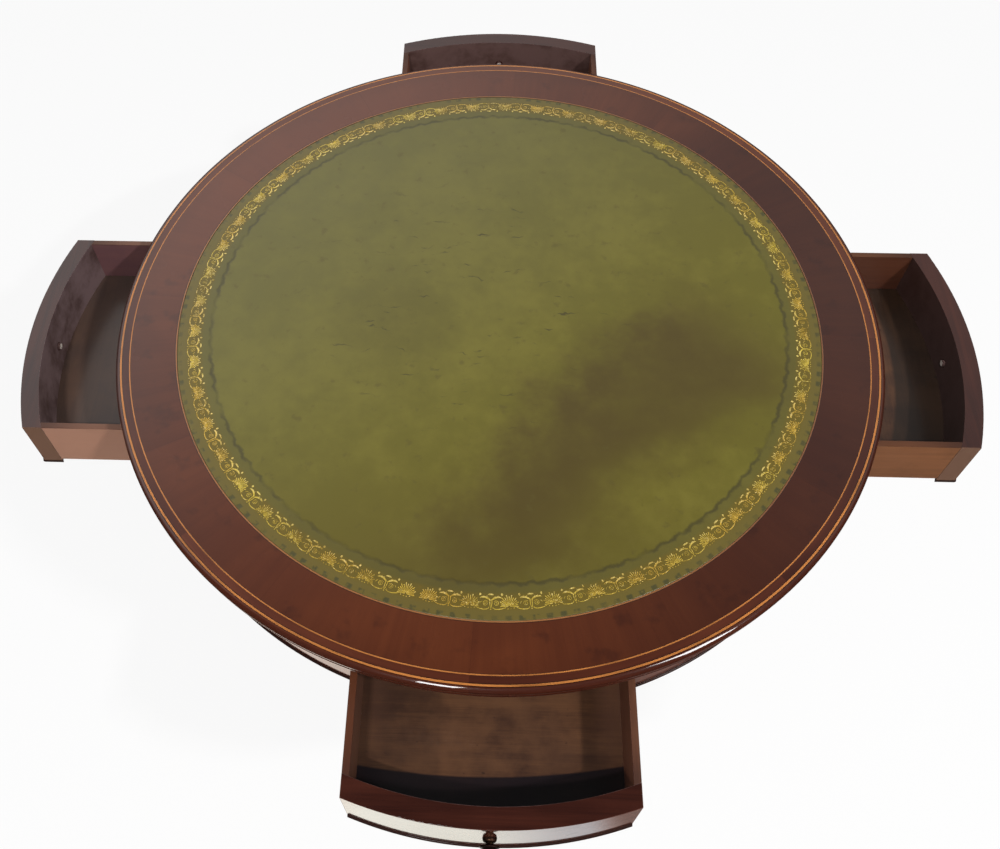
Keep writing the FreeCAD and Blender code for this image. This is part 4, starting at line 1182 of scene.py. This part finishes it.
class DESK_OT_knobs(bpy.types.Operator):
    """Turn the brass knobs with their studs and nuts"""

    bl_idname = "desk.knobs"
    bl_label = "Knobs"

    # Stud and nut behind a knob's seat, and the slack in telling their faces apart, in metres.
    STUD_RADIUS = 0.0025
    STUD_LENGTH = 0.0294
    NUT_RADIUS = 0.0052
    NUT_HEIGHT = 0.0040
    NUT_SEAT = 0.0244
    NUT_ARRIS = 0.0004
    SLACK = 0.0002

    def execute(self, context):
        sizes = context.scene.desk_sizes
        model = self.model(sizes)
        for side, angle in SIDES.items():
            node = f"{side}_drawer_knob"
            low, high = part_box(node)
            out = Vector((math.cos(math.radians(angle)), math.sin(math.radians(angle)), 0.0))
            ends = [corner.dot(out) for corner in (low, high)]
            place = out * (max(ends) - sizes.knob_reach)
            place.z = (low.z + high.z) / 2
            take(model)
            bpy.ops.object.duplicate()
            knob = context.object
            turned = Matrix.Rotation(math.radians(angle), 4, "Z") @ Matrix.Rotation(math.pi / 2, 4, "Y")
            knob.matrix_world = Matrix.Translation(place) @ turned
            bpy.ops.object.transform_apply(location=True, rotation=True, scale=True)
            settle(knob, f"{node}_turned", node, "old_brass")
            self.finish_nut(knob, place, out)
        bpy.data.objects.remove(model)
        return {"FINISHED"}

    def finish_nut(self, knob, seat, out):
        """Gives the stained nut, and the end of the stud with its painted glint, their own finishes."""
        knob.data.materials.append(finish("stained_nut"))
        knob.data.materials.append(finish("bright_stud"))
        for face in knob.data.polygons:
            away = face.center - seat
            depth = -away.dot(out)
            if depth > self.NUT_SEAT - self.SLACK:
                on_stud = (away + out * depth).length < self.STUD_RADIUS + self.SLACK
                face.material_index = 2 if on_stud else 1

    def model(self, sizes):
        """Knob along Z, its seat on the front at nought, with the nut inside the front."""
        head = sizes.knob_head / 2
        base = sizes.knob_base / 2
        neck = sizes.knob_neck / 2
        reach = sizes.knob_reach
        stud, end = self.STUD_RADIUS, -self.STUD_LENGTH
        neck_low, neck_high, head_low, head_high = 0.0052, 0.0058, 0.0083, 0.0109
        rim = head - 0.0018
        profile = [(0.0, end), (stud * 0.7, end), (stud, end + 0.0005), (stud, 0.0)]
        profile += [(base, 0.0), (base, 0.0007), (base - 0.0003, 0.0010)]
        profile += arc(profile[-1], (neck + (base - neck) * 0.7071, 0.0040), (neck, neck_low), 6)
        profile += [(neck, neck_high)]
        profile += arc(profile[-1], (neck + 0.0007, 0.0075), (neck + 0.0023, head_low), 4)
        profile += [(head - 0.0015, head_low)]
        profile += arc(profile[-1], (head, 0.0096), (head - 0.0013, head_high), 6)
        profile += [(rim, head_high)]
        for share in (0.85, 0.7, 0.55, 0.4, 0.25, 0.1):
            profile.append((rim * share, head_high + (reach - head_high) * (1 - share * share)))
        profile += [(0.0, reach)]
        knob = turn(profile, 36)
        clear_selection()
        bpy.ops.mesh.primitive_cylinder_add(
            vertices=6,
            radius=self.NUT_RADIUS,
            depth=self.NUT_HEIGHT,
            location=(0, 0, -self.NUT_SEAT - self.NUT_HEIGHT / 2),
        )
        nut = soften(bpy.context.object, self.NUT_ARRIS)
        bpy.ops.object.transform_apply(location=True, rotation=True, scale=True)
        return joined([knob, nut])


class DESK_OT_pedestal(bpy.types.Operator):
    """Finish the bearer, the turned column and the swept legs"""

    bl_idname = "desk.pedestal"
    bl_label = "Pedestal"

    def execute(self, context):
        sizes = context.scene.desk_sizes
        finish_copy("bearer", "mahogany_x", sizes.arris)
        finish_copy("column", "mahogany_z", sizes.arris)
        for side, angle in SIDES.items():
            along = "x" if angle in (0, 180) else "y"
            finish_copy(f"{side}_leg", f"mahogany_{along}", 2 * sizes.arris)
        return {"FINISHED"}


class DESK_OT_castors(bpy.types.Operator):
    """Finish the cups, forks, axles and wheels of the castors"""

    bl_idname = "desk.castors"
    bl_label = "Castors"

    def execute(self, context):
        sizes = context.scene.desk_sizes
        finish_copy("castor_cups", "rubbed_brass", sizes.metal_arris)
        for side in SIDES:
            finish_copy(f"{side}_castor_fork", "rubbed_brass", sizes.metal_arris)
            finish_copy(f"{side}_castor_wheel", "rubbed_brass", sizes.metal_arris)
            finish_copy(f"{side}_castor_axle", "dull_steel", sizes.metal_arris)
        return {"FINISHED"}


class DESK_OT_hardware(bpy.types.Operator):
    """Finish the spindle, the cross plate and the screws"""

    bl_idname = "desk.hardware"
    bl_label = "Hardware"

    def execute(self, context):
        sizes = context.scene.desk_sizes
        finish_copy("leg_plate", "dull_steel", sizes.metal_arris)
        finish_copy("plate_screws", "dull_steel", sizes.metal_arris)
        for node in ("spindle", "top_screws"):
            dress(node, "dull_steel")
        return {"FINISHED"}


class DESK_OT_stage(bpy.types.Operator):
    """Set up the pale floor, the soft light and the camera"""

    bl_idname = "desk.stage"
    bl_label = "Stage"

    def execute(self, context):
        self.lay_floor(context)
        self.light_sky(context)
        for name, place, power in WINDOWS:
            self.hang_lamp(name, place, WINDOW_SIZE, power).visible_glossy = False
        for name, place, size, power in GLINTS:
            self.hang_lamp(name, place, size, power).visible_diffuse = False
        self.set_camera(context)
        context.scene.view_settings.view_transform = "Standard"
        return {"FINISHED"}

    def lay_floor(self, context):
        """Floor that the camera sees as nearly white, and polish sees with its own shades and tints."""
        clear_selection()
        bpy.ops.mesh.primitive_circle_add(vertices=96, radius=30.0, fill_type="NGON")
        floor = context.object
        floor.name = "floor"
        material = bpy.data.materials.new("pale_floor")
        material.use_nodes = True
        nodes = Nodes(material.node_tree)
        shader = nodes.tree.nodes["Principled BSDF"]
        nodes.feed(shader.inputs["Base Color"], context.scene.desk_colours.floor)
        nodes.feed(shader.inputs["Roughness"], 0.9)
        nodes.feed(shader.inputs["Specular IOR Level"], 0.0)
        x, y = nodes.node("ShaderNodeSeparateXYZ", sockets={0: nodes.node("ShaderNodeTexCoord")[3]})[:2]
        camera, glossy = nodes.sight()
        rightward = nodes.smooth(x, -0.06, 0.24)
        sheen = 1.42 - rightward * 0.66 - nodes.smooth(x, 0.215, 0.315) * 0.50
        sheen = sheen * (0.160 + nodes.smooth(x, -0.66, -0.45) * 0.840)
        sheen = sheen * (1.0 - nodes.smooth(y, -0.10, 0.90) * 0.75)
        sheen = sheen * (1.0 - nodes.smooth(nodes.distance(x, y), 0.88, 1.08) * 0.9)
        strength = camera + (1.0 - camera) * sheen
        tint = nodes.blend((1.0, 0.985, 0.88), (0.98, 0.96, 0.98), rightward)
        tint = nodes.blend((0.90, 0.76, 0.665), tint, nodes.smooth(x, -0.38, -0.26))
        right = nodes.smooth(x, 0.22, 0.31)
        tint = nodes.coats(tint, ((1.0, 0.67, 0.58), right), ((1.0, 1.0, 1.0), camera))
        tint = nodes.node("ShaderNodeVectorMath", {"operation": "SCALE"}, {0: tint, "Scale": strength})[0]
        glow = nodes.node("ShaderNodeEmission", sockets={"Color": tint, "Strength": 1.0})[0]
        lit = Value(nodes, shader.outputs[0])
        share = nodes.maths("MAXIMUM", camera * 0.88, glossy)
        shown = nodes.node("ShaderNodeMixShader", sockets={0: share, 1: lit, 2: glow})[0]
        nodes.feed(nodes.tree.nodes["Material Output"].inputs["Surface"], shown)
        floor.data.materials.append(material)

    def light_sky(self, context):
        """Plain room: white to the camera; polish sees it bright high up at the back, most at the left."""
        world = context.scene.world or bpy.data.worlds.new("room")
        context.scene.world = world
        world.use_nodes = True
        nodes = Nodes(world.node_tree)
        direction = nodes.node("ShaderNodeTexCoord")[0]
        x, y, z = nodes.node("ShaderNodeSeparateXYZ", sockets={0: direction})
        left = nodes.maths("MINIMUM", nodes.maths("MAXIMUM", 0.83 - x * 1.50, 0.48), 1.4)
        upper = 0.01 + (1.0 - nodes.smooth(z, 0.74, 0.99)) * left
        low = nodes.maths("MAXIMUM", 0.15 - x * 0.30, 0.06)
        room = low + (upper - low) * nodes.smooth(z, 0.20, 0.50)
        room = 0.04 + (room - 0.04) * nodes.smooth(y, -0.35, 0.15)
        camera, glossy = nodes.sight()
        strength = camera + (1.0 - camera) * (0.30 + (room - 0.30) * glossy)
        nodes.feed(nodes.tree.nodes["Background"].inputs["Color"], (1.0, 1.0, 1.0))
        nodes.feed(nodes.tree.nodes["Background"].inputs["Strength"], strength)

    def hang_lamp(self, name, place, size, power):
        """Hangs a window-shaped lamp that faces the desk's top."""
        turned = (Vector(LAMP_AIM) - Vector(place)).to_track_quat("-Z", "Y").to_euler()
        clear_selection()
        bpy.ops.object.light_add(type="AREA", location=place, rotation=turned)
        lamp = bpy.context.object
        lamp.name = name
        lamp.data.shape = "RECTANGLE"
        lamp.data.size, lamp.data.size_y = size
        lamp.data.energy = power
        return lamp

    def set_camera(self, context):
        """Camera that looks down on the top from the near side, as in the photo."""
        ahead = Vector(CAMERA_AHEAD).normalized()
        right = Vector(CAMERA_RIGHT)
        right = (right - ahead * right.dot(ahead)).normalized()
        up = right.cross(ahead)
        clear_selection()
        bpy.ops.object.camera_add()
        camera = context.object
        turned = Matrix((right, up, -ahead)).transposed().to_4x4()
        camera.matrix_world = Matrix.Translation(CAMERA_PLACE) @ turned
        camera.data.sensor_fit = "HORIZONTAL"
        camera.data.sensor_width = CAMERA_SENSOR
        camera.data.lens = CAMERA_LENS
        camera.data.shift_x, camera.data.shift_y = CAMERA_SHIFT
        camera.data.clip_end = 200.0
        context.scene.camera = camera


STEPS = (
    DESK_OT_edge_band,
    DESK_OT_inlay,
    DESK_OT_leather,
    DESK_OT_gilt_border,
    DESK_OT_drum,
    DESK_OT_drawers,
    DESK_OT_knobs,
    DESK_OT_pedestal,
    DESK_OT_castors,
    DESK_OT_hardware,
    DESK_OT_stage,
)


class DESK_PT_panel(bpy.types.Panel):
    """Sidebar panel that lists the desk's pieces, sizes and colours"""

    bl_idname = "DESK_PT_panel"
    bl_label = "Drum Desk"
    bl_space_type = "VIEW_3D"
    bl_region_type = "UI"
    bl_category = "Desk"

    def draw(self, context):
        column = self.layout.column(align=True)
        for step in STEPS:
            column.operator(step.bl_idname)
        for group in (context.scene.desk_sizes, context.scene.desk_colours):
            box = self.layout.box()
            for name in group.__annotations__:
                box.prop(group, name)


CLASSES = (DeskSizes, DeskColours, *STEPS, DESK_PT_panel)


def register():
    for cls in CLASSES:
        bpy.utils.register_class(cls)
    bpy.types.Scene.desk_sizes = bpy.props.PointerProperty(type=DeskSizes)
    bpy.types.Scene.desk_colours = bpy.props.PointerProperty(type=DeskColours)


def unregister():
    del bpy.types.Scene.desk_colours
    del bpy.types.Scene.desk_sizes
    for cls in reversed(CLASSES):
        bpy.utils.unregister_class(cls)


def main():
    register()
    bpy.ops.desk.edge_band()
    bpy.ops.desk.inlay()
    bpy.ops.desk.leather()
    bpy.ops.desk.gilt_border()
    bpy.ops.desk.drum()
    bpy.ops.desk.drawers()
    bpy.ops.desk.knobs()
    bpy.ops.desk.pedestal()
    bpy.ops.desk.castors()
    bpy.ops.desk.hardware()
    bpy.ops.desk.stage()


if __name__ == "__main__":
    main()
